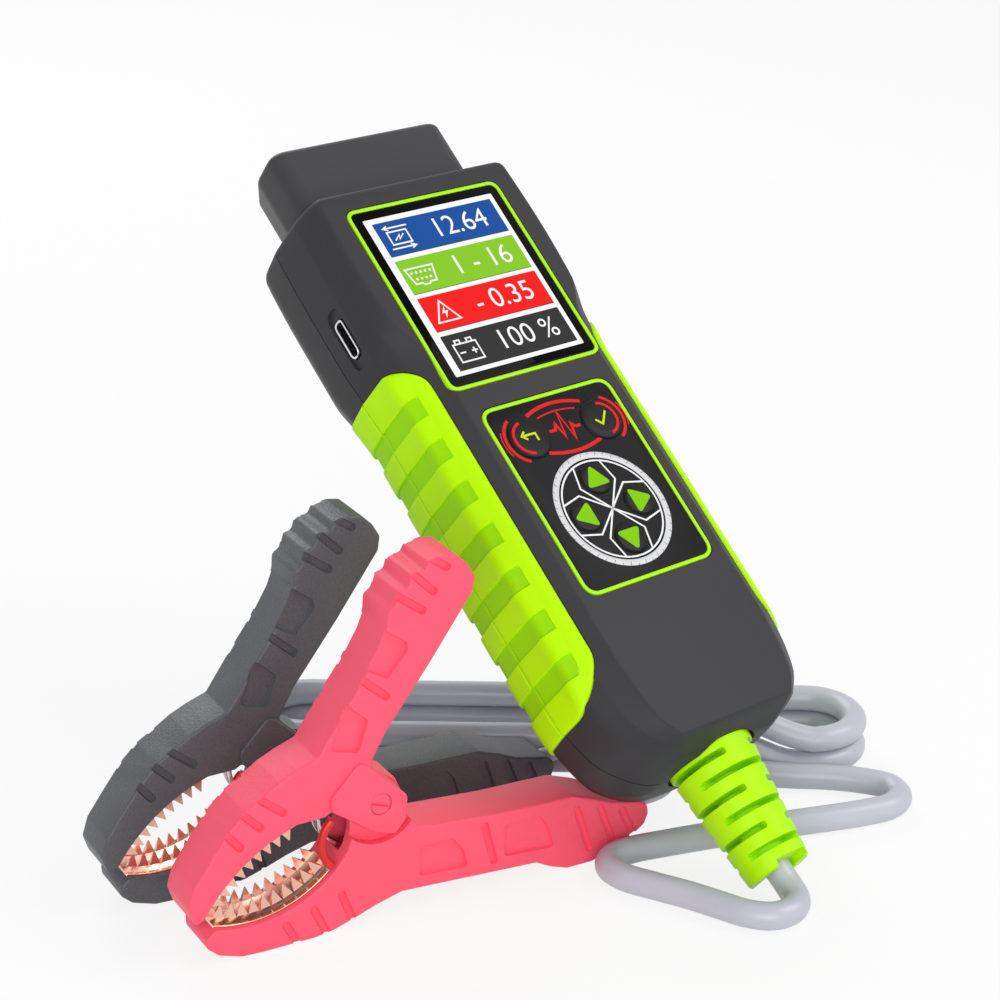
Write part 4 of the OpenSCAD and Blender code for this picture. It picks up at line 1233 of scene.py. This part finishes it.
def makeKeys():
    place = testerPlace()
    arrow = roundLoop(keySet["arrow"], [0.6] * 3, 5)
    turns = {"up": 0, "down": 180, "left": 90, "right": -90}
    for name in keyNames:
        key = keyBody(name)
        settle(key, place, "key", "key_" + name, "keypad", ("key_" + name,), angle=40)
        if name in turns:
            keySign(name, turnPoints(arrow, math.radians(turns[name])), "limePrint")
    # back: an arrow bent to the left; ok: a tick
    keySign("back", [(1.5, -1.0), (1.5, 0.55), (-1.5, 0.55)], "yellowPrint")
    head = stroke(shiftPoints([(-0.6, 1.4), (-1.6, 0.55), (-0.6, -0.3)], *keySet["back"][:2]), keySet["line"],
                  keySet["rise"] - 0.01, keySet["rise"] + 0.04, "signBackHead")
    settle(head, place, "yellowPrint", "key_back", "arrow")
    keySign("ok", [(-1.5, 0.1), (-0.4, -1.1), (1.6, 1.3)], "yellowPrint")
    for name, start in (("back", 100), ("ok", -80)):
        arc = arcPoints(*keySet[name][:2], 3.3, start, start + 160, 24)
        ring = stroke(arc, 0.55, keySet["rise"] - 0.06, keySet["rise"] + 0.02, "keyArc" + name.capitalize())
        settle(ring, place, "redPrint", "key_" + name, "arrow")


def makeMotif():
    # Generic red print between the two round keys: a pulse line with sweeping bands
    low, high = 0.0, 0.03
    parts = [stroke([(-3.3, -7.7), (-1.9, -7.7), (-1.2, -6.6), (-0.5, -9.4), (0.5, -4.3), (1.4, -10.2),
                     (2.1, -7.3), (2.7, -8.0), (3.9, -8.0)], 0.6, low, high)]
    for *arc, wide in ((-19.5, 17.2, 112, 68, 24, 0.7), (-22.6, 18.6, 104, 76, 18, 0.3),
                       (6.5, 19.2, -109, -71, 24, 0.7)):
        parts.append(stroke(arcPoints(0.3, *arc), wide, low, high))
    for side in (-1, 1):
        x, y = keySet["back" if side < 0 else "ok"][:2]
        middle = 180 if side < 0 else 0
        parts.append(stroke(arcPoints(x, y, 5.0, middle - 62, middle + 62, 20), 0.6, low, high))
        parts.append(stroke(arcPoints(x, y, 5.75, middle - 26, middle + 26, 12), 0.25, low, high))
    fit(joinPieces("pulseMotif", parts), "redPrint", "arrow")


wheelSet = {"middle": (0, -25.4), "outer": 11.9, "band": 1.25, "inner": 10.1, "line": 0.34, "ticks": 44,
            "kink": (4.15, 5.3), "end": (3.1, 9.7)}


def makeWheel():
    w = wheelSet
    cx, cy = w["middle"]
    rims = [circleLoop(w["outer"] - inset, cx, cy, 96) for inset in (0, w["band"])]
    fit(frameRing("wheelBand", *rims, 0.0, 0.06, 0.03), "ring", "ring", "keypad_ring")
    rims = [circleLoop(w["inner"] + side * w["line"] / 2, cx, cy, 96) for side in (1, -1)]
    parts = [frameRing("line", *rims, 0.0, 0.04, 0.01)]
    for k in range(4):
        turn = math.pi / 2 * k
        for side in (-1, 1):
            # the line passes round the key, which stands between the middle and the kink
            route = [(0, 0), (side * w["kink"][0], w["kink"][1]), (side * w["end"][0], w["end"][1])]
            parts.append(stroke(shiftPoints(turnPoints(route, turn), cx, cy), w["line"], 0.0, 0.03))
    fit(joinPieces("wheelLines", parts), "print", "ring")
    ticks = []
    for i in range(w["ticks"]):
        a = 2 * math.pi * i / w["ticks"]
        ends = ((w["outer"] - (0.75 if i % 2 else 0.45), a + 0.02), (w["outer"] - 0.02, a))
        line = [(cx + r * math.cos(b), cy + r * math.sin(b)) for r, b in ends]
        ticks.append(stroke(line, 0.1, 0.055, 0.068))
    fit(joinPieces("wheelTicks", ticks), "tickGrey", "ring")


makeKeypad()
makeKeys()
makeMotif()
makeWheel()
print("keypad made")


def makePlug():
    s = plugSet
    mouth, floor, tip = s["to"], s["floor"], s["pinTip"]
    levels = [(s["from"], 0), (mouth - 1.2, 0), (mouth - 0.7, 0.13), (mouth - 0.3, 0.4), (mouth, 0.75),
              (mouth - 0.05, 1.25), (mouth - 0.45, s["wall"]), (floor - 4, s["wall"]), (floor - 4.5, 1.5)]
    rings = [[(x, y, z) for x, z in plugLoop(inset)] for y, inset in levels]
    # both ends close to a small patch at the plug's middle
    rings[-1] = [(x * 0.02, floor - 4.5, z * 0.02 - 14) for x, z in plugLoop(1.5)]
    back = [(x * 0.02, s["from"], (z + 14) * 0.02 - 14) for x, z in plugLoop(0)]
    shell = loft("plugShell", [back] + rings)
    fit(shell, "plug", "casing", "plug_shell", angle=40)
    core = loft("plugCore", [[(x, y, z) for x, z in plugLoop(inset)]
                             for y, inset in ((floor - 4, 1.62), (floor - 0.3, 1.62), (floor, 1.9))])
    for x, row in pinPlaces():
        carve(core, boxPiece("well", (x - 1.15, floor - 1.2, row - 0.8), (x + 1.15, floor + 1, row + 0.8)))
    fit(core, "dark", "black_part", "plug_core", angle=30)
    pins = []
    for x, row in pinPlaces():
        rings = [[(x + p.x, y, row + p.y) for p in boxLoop(*(size * k for size in s["pin"]))]
                 for y, k in ((floor - 1.1, 1), (tip - 0.9, 1), (tip - 0.2, 0.75), (tip, 0.45))]
        pins.append(loft("pin", rings))
    fit(joinPieces("plugPins", pins), "gold", "contact", "plug_pins")


usbSet = {
    "shell": [  # depth, width, height, corner
        (-15.5, 7.9, 2.9, 1.2), (-24.9, 7.9, 2.9, 1.2), (-25.05, 7.6, 2.6, 1.1), (-24.9, 7.1, 2.1, 0.9),
        (-19.5, 7.1, 2.1, 0.9), (-19.4, 0.4, 0.1, 0.02)],
    "tongue": (5.2, 0.7, 0.15), "tongueUp": 0.35, "tongueEnds": (-19.6, -24.0),
}


def makeUsb():
    y0, z0 = casingSet["usb"]
    rings = [[(x, y0 + p.x, z0 + p.y) for p in boxLoop(*size)] for x, *size in usbSet["shell"]]
    shell = loft("usbShell", rings)
    fit(shell, "brightSteel", "steel", "usb_port", angle=40)
    tongue = loft("usbTongue",
                  [[(x, y0 + p.x, z0 + usbSet["tongueUp"] + p.y) for p in boxLoop(*usbSet["tongue"])]
                                for x in usbSet["tongueEnds"]])
    fit(tongue, "dark", "black_part")


makePlug()
makeUsb()


bootSet = {"base": -70.4, "tip": -94.6, "z": -12.9, "wideBase": 8.3, "wideTip": 6.0, "neck": 6.1, "bore": 2.6,
           "rows": 6, "firstRow": 2.2, "pitch": 3.62, "slot": 1.3, "half": 70, "deep": 3.2,
           "turns": (177, 93)}


def makeBoot():
    s = bootSet
    length = s["base"] - s["tip"]
    collar, neck = s["wideBase"] - 0.2, s["neck"]
    profile = [(s["bore"], 10), (collar, 10), (collar, 7.6), (neck, 7.6), (neck, 0.2), (s["wideBase"], 0),
               (s["wideTip"], -length + 0.35), (s["wideTip"] - 0.35, -length), (s["bore"], -length)]
    rings = []
    for i in range(96):
        a = 2 * math.pi * i / 96
        rings.append([(r * math.cos(a), s["base"] + h, s["z"] + r * math.sin(a)) for r, h in profile])
    boot = loft("cordBoot", rings, closedRound=True)
    for row in range(s["rows"]):
        y = s["base"] - s["firstRow"] - row * s["pitch"]
        middle = s["turns"][row % 2]
        for turn in (middle, middle + 180):
            ends = (turn - s["half"], turn + s["half"])
            points = arcPoints(0, 0, 10, *ends, 14) + arcPoints(0, 0, s["deep"], *ends, 14)[::-1]
            half = s["slot"] / 2
            rings = []
            for level, pinch in ((half, 0.06), (half * 0.6, 0.015), (-half * 0.6, 0.015), (-half, 0.06)):
                ring = []
                for u, v in points:
                    a = math.atan2(v, u)
                    away = math.atan2(math.sin(a - math.radians(turn)), math.cos(a - math.radians(turn)))
                    a = math.radians(turn) + away * (1 - pinch)
                    r = math.hypot(u, v)
                    ring.append((r * math.cos(a), y + level, s["z"] + r * math.sin(a)))
                rings.append(ring)
            carve(boot, loft("bootSlot", rings))
    notch = boxPiece("tipNotch", (-3.4, s["tip"] - 1, s["z"] - 9), (3.4, s["tip"] + 1.3, s["z"] + 9))
    carve(boot, notch)
    fit(boot, "boot", "grip", "cord_boot", angle=32)


makeBoot()
print("plug, socket and boot made")


clampSet = {
    "half": 4.9, "earHalf": 5.5, "rim": 0.45, "pivot": 22.7, "pocket": 0.7, "flare": 0.2, "leadAt": 7.4,
    "earWell": 7.6, "leadBore": 1.62, "pinBore": 1.98,
    "upperTip": (-34.2, 8.3), "lowerTip": (-32.3, 5.2),
    "upperEdge": [(-32.6, 8.9), (-25.8, 16.6), (-15.2, 22.3)],
    "lowerEdge": [(-30.6, 6.6), (-20, 5.9), (-8.6, 11.8)],
    "upper": [(-10, 22.4), (-8.8, 23.2), (-1.4, 17.3), (1.8, 16.4), (3.8, 17.2), (5.2, 19.2), (5.2, 22.2),
              (3.4, 25.2), (-1.6, 30.2), (1.4, 35.4), (10, 46.6), (18.2, 58), (18.6, 60.6), (17.2, 63),
              (15.2, 65), (12.8, 65.4), (9.8, 64.8), (9.2, 63.4), (6.6, 63.2), (6, 61), (4.2, 60.6),
              (3.6, 58.2), (2.2, 57.2), (2, 54.6), (0.8, 51.6), (-2.8, 45.6), (-5.6, 41.8), (-11.2, 33.8),
              (-14.9, 32.5), (-18.2, 31), (-21, 29.2), (-24.5, 27.1), (-27.4, 24.3), (-31, 19.6),
              (-34.2, 15.2), (-35.3, 11.8)],
    "lower": [(-6, 15), (-5, 18), (-4.9, 22.7), (-3.6, 26.1), (0, 27.6), (3.6, 26.1), (5, 22.7), (6, 18),
              (7.4, 16.3), (10, 15.7), (24, 14.6), (38, 14.2), (42.4, 12.6), (46, 11), (49.4, 10.2),
              (52.2, 9.6), (53.6, 8.4), (53.8, 6.8), (53, 4.8), (51, 3.4), (48.8, 2.6), (48, 1.4), (45, 1.4),
              (44.2, 0.5), (42, 0), (37, 0), (33.6, 1.2), (30.6, 2.8), (4, 4.4), (-1, 3.1), (-5, 1.7),
              (-9, 0.5), (-12.6, 0), (-22, 0), (-26, 0.2), (-30.2, 1.6), (-32.2, 3.4)],
    "ear": [(-9.3, 25.8), (-4, 31.2), (-2.3, 30.5), (5.1, 23.1), (4.7, 18.7), (2.6, 16.3), (-0.9, 17.5),
            (-9.1, 23.4)],
    "upperPads": [[(0.9, 54.9), (5.5, 51.4), (5.8, 49.9), (1.9, 45.3), (-2, 47.7)],
                  [(-6, 42.6), (-1.8, 38.7), (-3.7, 33), (-8.9, 34.5)]],
    "upperRibs": [[(7.5, 67.3), (13.2, 63.3)], [(4.5, 65.7), (10.7, 59.4)], [(2.7, 60.8), (8.6, 56.4)],
                  [(-3.8, 47.1), (1.6, 42.2)], [(-22.1, 29), (-17.8, 25.4)], [(-25.2, 27), (-22, 23.6)],
                  [(-28.3, 24.1), (-25.7, 20.8)]],
    "lowerPads": [[(7.5, 12.3), (13.8, 12.3), (16.1, 9.5), (16.9, 5.9), (7.3, 6.6)],
                  [(24.1, 12), (31.4, 11.9), (32.8, 10), (34.2, 5.2), (24.1, 5.9)]],
    "lowerRibs": [[(20.2, 12.9), (22.0, 5.6)], [(38.8, 11.4), (41.4, 3.1)], [(43.6, 10.6), (46.4, 2.9)],
                  [(48.2, 8.8), (50.6, 3.4)], [(-7.5, 7.1), (-5.6, 2.1)], [(-12.7, 5.6), (-10.6, 0.8)],
                  [(-17.9, 4), (-15.8, 0)]],
    "teeth": 10, "toothHigh": 2.2, "toothWide": 1.9, "toothThick": 0.45, "strip": 1.4, "stripHalf": 3.5,
    "springMiddle": (-3.2, 20.6), "springRadius": 6.6, "springWire": 0.42, "springTurns": 4,
    "springHalf": 1.56,
}


def arcOf(a, b, c):
    d = 2 * (a[0] * (b[1] - c[1]) + b[0] * (c[1] - a[1]) + c[0] * (a[1] - b[1]))
    sa, sb, sc = (p[0] ** 2 + p[1] ** 2 for p in (a, b, c))
    x = (sa * (b[1] - c[1]) + sb * (c[1] - a[1]) + sc * (a[1] - b[1])) / d
    y = (sa * (c[0] - b[0]) + sb * (a[0] - c[0]) + sc * (b[0] - a[0])) / d
    return x, y, math.dist((x, y), a)


def jawArc(name):
    edge = clampSet[name + "Edge"]
    x, y, r = arcOf(*edge)
    start = math.atan2(edge[0][1] - y, edge[0][0] - x)
    end = math.atan2(edge[2][1] - y, edge[2][0] - x)
    if name == "lower":
        start, end = start + 2 * math.pi, end + 2 * math.pi
    return x, y, r, start, end


def arcLine(arc, inset, count, back=False):
    x, y, r, start, end = arc
    points = [(x + (r - inset) * math.cos(start + (end - start) * i / count),
               y + (r - inset) * math.sin(start + (end - start) * i / count)) for i in range(count + 1)]
    return points[::-1] if back else points


def turnOf(loop):
    # 1 for a loop that runs anticlockwise, -1 for the other way
    area = sum(a[0] * b[1] - b[0] * a[1] for a, b in zip(loop, loop[1:] + loop[:1]))
    return 1 if area > 0 else -1


def crossRings(loop, levels, way=1):
    # The clamp's outline at each (distance across the clamp, inset)
    turn = turnOf(loop)
    return [[(q.x, way * level, q.y) for q in insetLoop(loop, inset * turn)] for level, inset in levels]


def sideSlab(name, loop, half, rim=0.0, steps=3):
    # A plate across the clamp, from -half to half, with both rims rounded
    levels = [(-half, 0.0)]
    if rim:
        turns = [k / steps * math.pi / 2 for k in range(steps + 1)]
        levels = [(-half + rim * (1 - math.cos(a)), rim * (1 - math.sin(a))) for a in turns]
    levels += [(-level, inset) for level, inset in reversed(levels)]
    return loft(name, crossRings(loop, levels))


def ribLoop(ends, width=1.5):
    # A groove with round ends between two points
    (x0, y0), (x1, y1) = ends
    a = math.atan2(y1 - y0, x1 - x0)
    r = width / 2
    turn = math.degrees(a)
    return arcPoints(x1, y1, r, turn - 90, turn + 90, 8) + arcPoints(x0, y0, r, turn + 90, turn + 270, 8)


def dentCutter(loop, half, deep, flare):
    # Sloped-wall pocket cutters on both faces of a lever
    levels = [(half - deep, flare), (half - deep * 0.75, flare * 0.55), (half, 0.0), (half + 0.8, -flare)]
    return joinPieces("dents", [loft("dent", crossRings(loop, levels, side)) for side in (-1, 1)])


def softLoop(corners, radius):
    return [(p.x, p.y) for p in roundLoop(corners, [radius] * len(corners), 3)]


def leverBody(name):
    c = clampSet
    arc = jawArc(name)
    loop = softLoop([c[name + "Tip"]] + arcLine(arc, 0, 8) + c[name], 1.1)
    body = sideSlab(name + "Lever", loop, c["half"], c["rim"])
    dents = [softLoop(pad, 0.7) for pad in c[name + "Pads"]] + [ribLoop(rib) for rib in c[name + "Ribs"]]
    for dent in dents:
        carve(body, dentCutter(dent, c["half"], c["pocket"], c["flare"]))
    slot = arcLine(arc, 1, 10) + arcLine(arc, -c["strip"] - 0.1, 10, True)
    carve(body, sideSlab("jawSlot", slot, c["stripHalf"] + 0.1))
    if name == "upper":
        ears = softLoop(c["ear"], 1.2)
        for side in (-1, 1):
            plate = sideSlab("earPlate", ears, 0.7, 0.3)
            plate.data.transform(Matrix.Translation((0, side * (c["earHalf"] - 0.7), 0)))
            carve(body, plate, "UNION")
        carve(body, sideSlab("earWell", circleLoop(c["earWell"], 0, c["pivot"], 40), 3.5))
    else:
        for side in (-1, 1):
            cut = sideSlab("earWell", circleLoop(c["earWell"] + 0.1, 0, c["pivot"], 40), 2.0)
            cut.data.transform(Matrix.Translation((0, side * 5.3, 0)))
            carve(body, cut)
        hole = circleLoop(c["leadBore"], 0, c["leadAt"], 24)
        carve(body, loft("leadBore", [[(x, y, z) for y, z in hole] for x in (48, 60)]))
    carve(body, sideSlab("springWell", circleLoop(c["springRadius"] + 0.8, *c["springMiddle"], 40), 2.15))
    carve(body, sideSlab("pinBore", circleLoop(c["pinBore"], 0, c["pivot"], 24), 9))
    return body


def makeToothTree():
    # One four-sided tooth on every point, turned to the point's aim
    tree = startTree("teethOnPoints", [("Width", "NodeSocketFloat"), ("Height", "NodeSocketFloat")])
    given = addNode(tree, "NodeGroupInput")
    tooth = addNode(tree, "GeometryNodeMeshCone", {"Vertices": 4, "Radius Top": 0.12,
                                                   "Radius Bottom": given.outputs["Width"],
                                                   "Depth": given.outputs["Height"]})
    square = addNode(tree, "GeometryNodeTransform", {"Geometry": tooth.outputs["Mesh"],
                                                     "Rotation": (0, 0, math.pi / 4)})
    aim = addNode(tree, "GeometryNodeInputNamedAttribute", {"Name": "aim"}, data_type="FLOAT_VECTOR")
    turn = addNode(tree, "FunctionNodeAlignEulerToVector", {"Vector": aim.outputs["Attribute"]}, axis="Z")
    flat = addNode(tree, "GeometryNodeTransform", {"Geometry": square.outputs["Geometry"],
                                                   "Scale": (1, clampSet["toothThick"], 1)})
    placed = addNode(tree, "GeometryNodeInstanceOnPoints", {"Points": given.outputs["Geometry"],
                                                            "Instance": flat.outputs["Geometry"],
                                                            "Rotation": turn.outputs["Rotation"]})
    return endTree(tree, placed.outputs["Instances"], given)


toothTree = makeToothTree()


def jawTeeth(name):
    # The copper strip and its two rows of teeth, as one piece
    c = clampSet
    arc = jawArc(name)
    x, y, r, start, end = arc
    strip = sideSlab(name + "Strip", arcLine(arc, 0.25, 16) + arcLine(arc, -c["strip"] + 0.05, 16, True),
                     c["stripHalf"], 0.15)
    points, aims = [], []
    for side in (-1, 1):
        for i in range(c["teeth"]):
            a = start + (end - start) * (i + (0.5 if side < 0 else 0.78)) / (c["teeth"] + 0.3)
            inner = r - c["toothHigh"] / 2 - 0.1
            points.append((x + inner * math.cos(a), side * 2.1, y + inner * math.sin(a)))
            aims.append((-math.cos(a), 0, -math.sin(a)))
    carrier = newPiece(name + "Teeth", points, [])
    attribute = carrier.data.attributes.new("aim", "FLOAT_VECTOR", "POINT")
    for value, aim in zip(attribute.data, aims):
        value.vector = aim
    modifier = carrier.modifiers.new("teeth", "NODES")
    modifier.node_group = toothTree
    setInputs(modifier, {"Width": c["toothWide"] * 0.71, "Height": c["toothHigh"] + 0.2,
                         "Finish": finishes["copper"]})
    bakeShape(carrier)
    return joinPieces(name + "Jaw", [strip, carrier])


def springCoil():
    c = clampSet
    (x, z), r, steps = c["springMiddle"], c["springRadius"], 36
    count = c["springTurns"] * steps
    path = []
    for i in range(count + 1):
        a = 2 * math.pi * i / steps
        path.append((x + r * math.cos(a), c["springHalf"] * (2 * i / count - 1), z + r * math.sin(a)))
    return growTube("springCoil", path, c["springWire"], "steel", 10)


def pivotPin():
    c = clampSet
    pin = turned("pivotPin", [(0, -5.7), (1.55, -5.7), (1.88, -5.45), (1.88, 5.45), (1.55, 5.7), (0, 5.7)],
                 (0, 0, c["pivot"]), "y", 40)
    for side in (-1, 1):
        low, high = sorted((side * 5.25, side * 6.5))
        slot = boxPiece("slot", (-2.4, low, -0.28), (2.4, high, 0.28))
        turn = Matrix.Rotation(math.radians(20), 4, "Y")
        slot.data.transform(Matrix.Translation((0, 0, c["pivot"])) @ turn)
        carve(pin, slot)
    return pin


def jumperWire():
    path = [(x, -4.35, z) for x, z in arcPoints(-5.2, 17, 5.6, 130, 228, 14)]
    return growTube("jumperWire", path, 0.75, "jumper", 14)


def makeClamps():
    shapes = {
        "upper_lever": leverBody("upper"), "lower_lever": leverBody("lower"), "upper_jaw": jawTeeth("upper"),
        "lower_jaw": jawTeeth("lower"), "spring": springCoil(), "pin": pivotPin(), "jumper": jumperWire(),
    }
    for colour in ("red", "black"):
        plastic, moulded = colour + "Clamp", colour + "_plastic"
        looks = {"upper_lever": (plastic, moulded), "lower_lever": (plastic, moulded),
                 "upper_jaw": ("copper", "copper"), "lower_jaw": ("copper", "copper"),
                 "spring": ("steel", "steel"), "pin": (plastic, "steel"), "jumper": ("jumper", "wire")}
        for part, shape in shapes.items():
            body = colour + "_upper" if part.startswith("upper") else "tester"
            name = colour + "".join(word.capitalize() for word in part.split("_"))
            finish, slot = looks[part]
            settle(addObject(name, shape.data.copy()), clampPlace(colour), finish, body, slot,
                   (colour + "_" + part,), angle=35)
    for shape in shapes.values():
        bpy.data.objects.remove(shape)


makeClamps()
print("clamps made")


# The parts inside keep their own shapes
insideLooks = {
    "circuit_board": "board", "buzzer": "dark", "processor": "dark", "load_resistor": "ceramic",
    "terminal_block": "terminal", "case_screws": "brightSteel", "cord_tail": "cord",
    "display_module": "ceramic",
    "key_switches": "dark",
}
for node, look in insideLooks.items():
    dress(frame["nodes"][node], look)


stageSet = {"size": 6.0, "glow": 0.84, "sky": 0.42}


def seenRay(tree):
    # 1 where the camera sees the white, straight or in a gloss or a glass
    ray = addNode(tree, "ShaderNodeLightPath")
    either = addNode(tree, "ShaderNodeMath", {0: ray.outputs["Is Camera Ray"],
                                              1: ray.outputs["Is Glossy Ray"]},
                     operation="MAXIMUM")
    return addNode(tree, "ShaderNodeMath", {0: either.outputs[0], 1: ray.outputs["Is Transmission Ray"]},
                   operation="MAXIMUM")


def makeStage():
    half = stageSet["size"]
    floor = newPiece("floor", [(-half, -half, 0), (half, -half, 0), (half, half, 0), (-half, half, 0)],
                     [(0, 1, 2, 3)])
    material = bpy.data.materials.new("paleFloor")
    material.use_nodes = True
    tree = material.node_tree
    tree.nodes.clear()
    where = addNode(tree, "ShaderNodeTexCoord")
    speck = addNode(tree, "ShaderNodeTexNoise", {"Vector": where.outputs["Object"], "Scale": 40.0})
    tone = addNode(tree, "ShaderNodeMix", {0: speck.outputs["Fac"], 6: (0.9, 0.9, 0.9, 1),
                                           7: (0.93, 0.93, 0.93, 1)},
                   data_type="RGBA")
    matt = addNode(tree, "ShaderNodeBsdfDiffuse", {"Color": tone.outputs[2]})
    glow = addNode(tree, "ShaderNodeEmission", {"Color": (1, 1, 1, 1), "Strength": 1.0})
    anyRay = seenRay(tree)
    share = addNode(tree, "ShaderNodeMath", {0: anyRay.outputs[0], 1: stageSet["glow"]}, operation="MULTIPLY")
    mix = addNode(tree, "ShaderNodeMixShader", {0: share.outputs[0], 1: matt.outputs[0], 2: glow.outputs[0]})
    addNode(tree, "ShaderNodeOutputMaterial", {"Surface": mix.outputs[0]})
    floor.data.materials.append(material)
    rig.stage(floor)


def makeWorld():
    world = bpy.data.worlds.new("softWorld")
    scene.world = world
    world.use_nodes = True
    tree = world.node_tree
    tree.nodes.clear()
    anyRay = seenRay(tree)
    seen = addNode(tree, "ShaderNodeBackground", {"Color": (1, 1, 1, 1), "Strength": 1.0})
    lit = addNode(tree, "ShaderNodeBackground", {"Color": (1, 1, 1, 1), "Strength": stageSet["sky"]})
    mix = addNode(tree, "ShaderNodeMixShader", {0: anyRay.outputs[0], 1: lit.outputs[0], 2: seen.outputs[0]})
    addNode(tree, "ShaderNodeOutputWorld", {"Surface": mix.outputs[0]})


lampSet = {
    "key": {"spot": (0.5, -0.5, 0.75), "size": 0.6, "watts": 3.6},
    "fill": {"spot": (-0.6, -0.7, 0.35), "size": 0.8, "watts": 5.0},
    "rim": {"spot": (0.2, 0.7, 0.6), "size": 0.6, "watts": 2.6},
}


def makeLamps():
    for name, s in lampSet.items():
        data = bpy.data.lights.new(name, "AREA")
        data.shape = "DISK"
        data.size = s["size"]
        data.energy = s["watts"]
        lamp = addObject(name, data)
        lamp.location = s["spot"]
        aim = Vector((0.0, 0.0, 0.06)) - Vector(s["spot"])
        lamp.rotation_euler = aim.to_track_quat("-Z", "Y").to_euler()


makeStage()
makeWorld()
makeLamps()
print("stage made")

with open("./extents.json", "w") as handle:
    json.dump({"cad": [list(c) for c in cadBounds], "scene": [list(c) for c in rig.bounds()]}, handle)
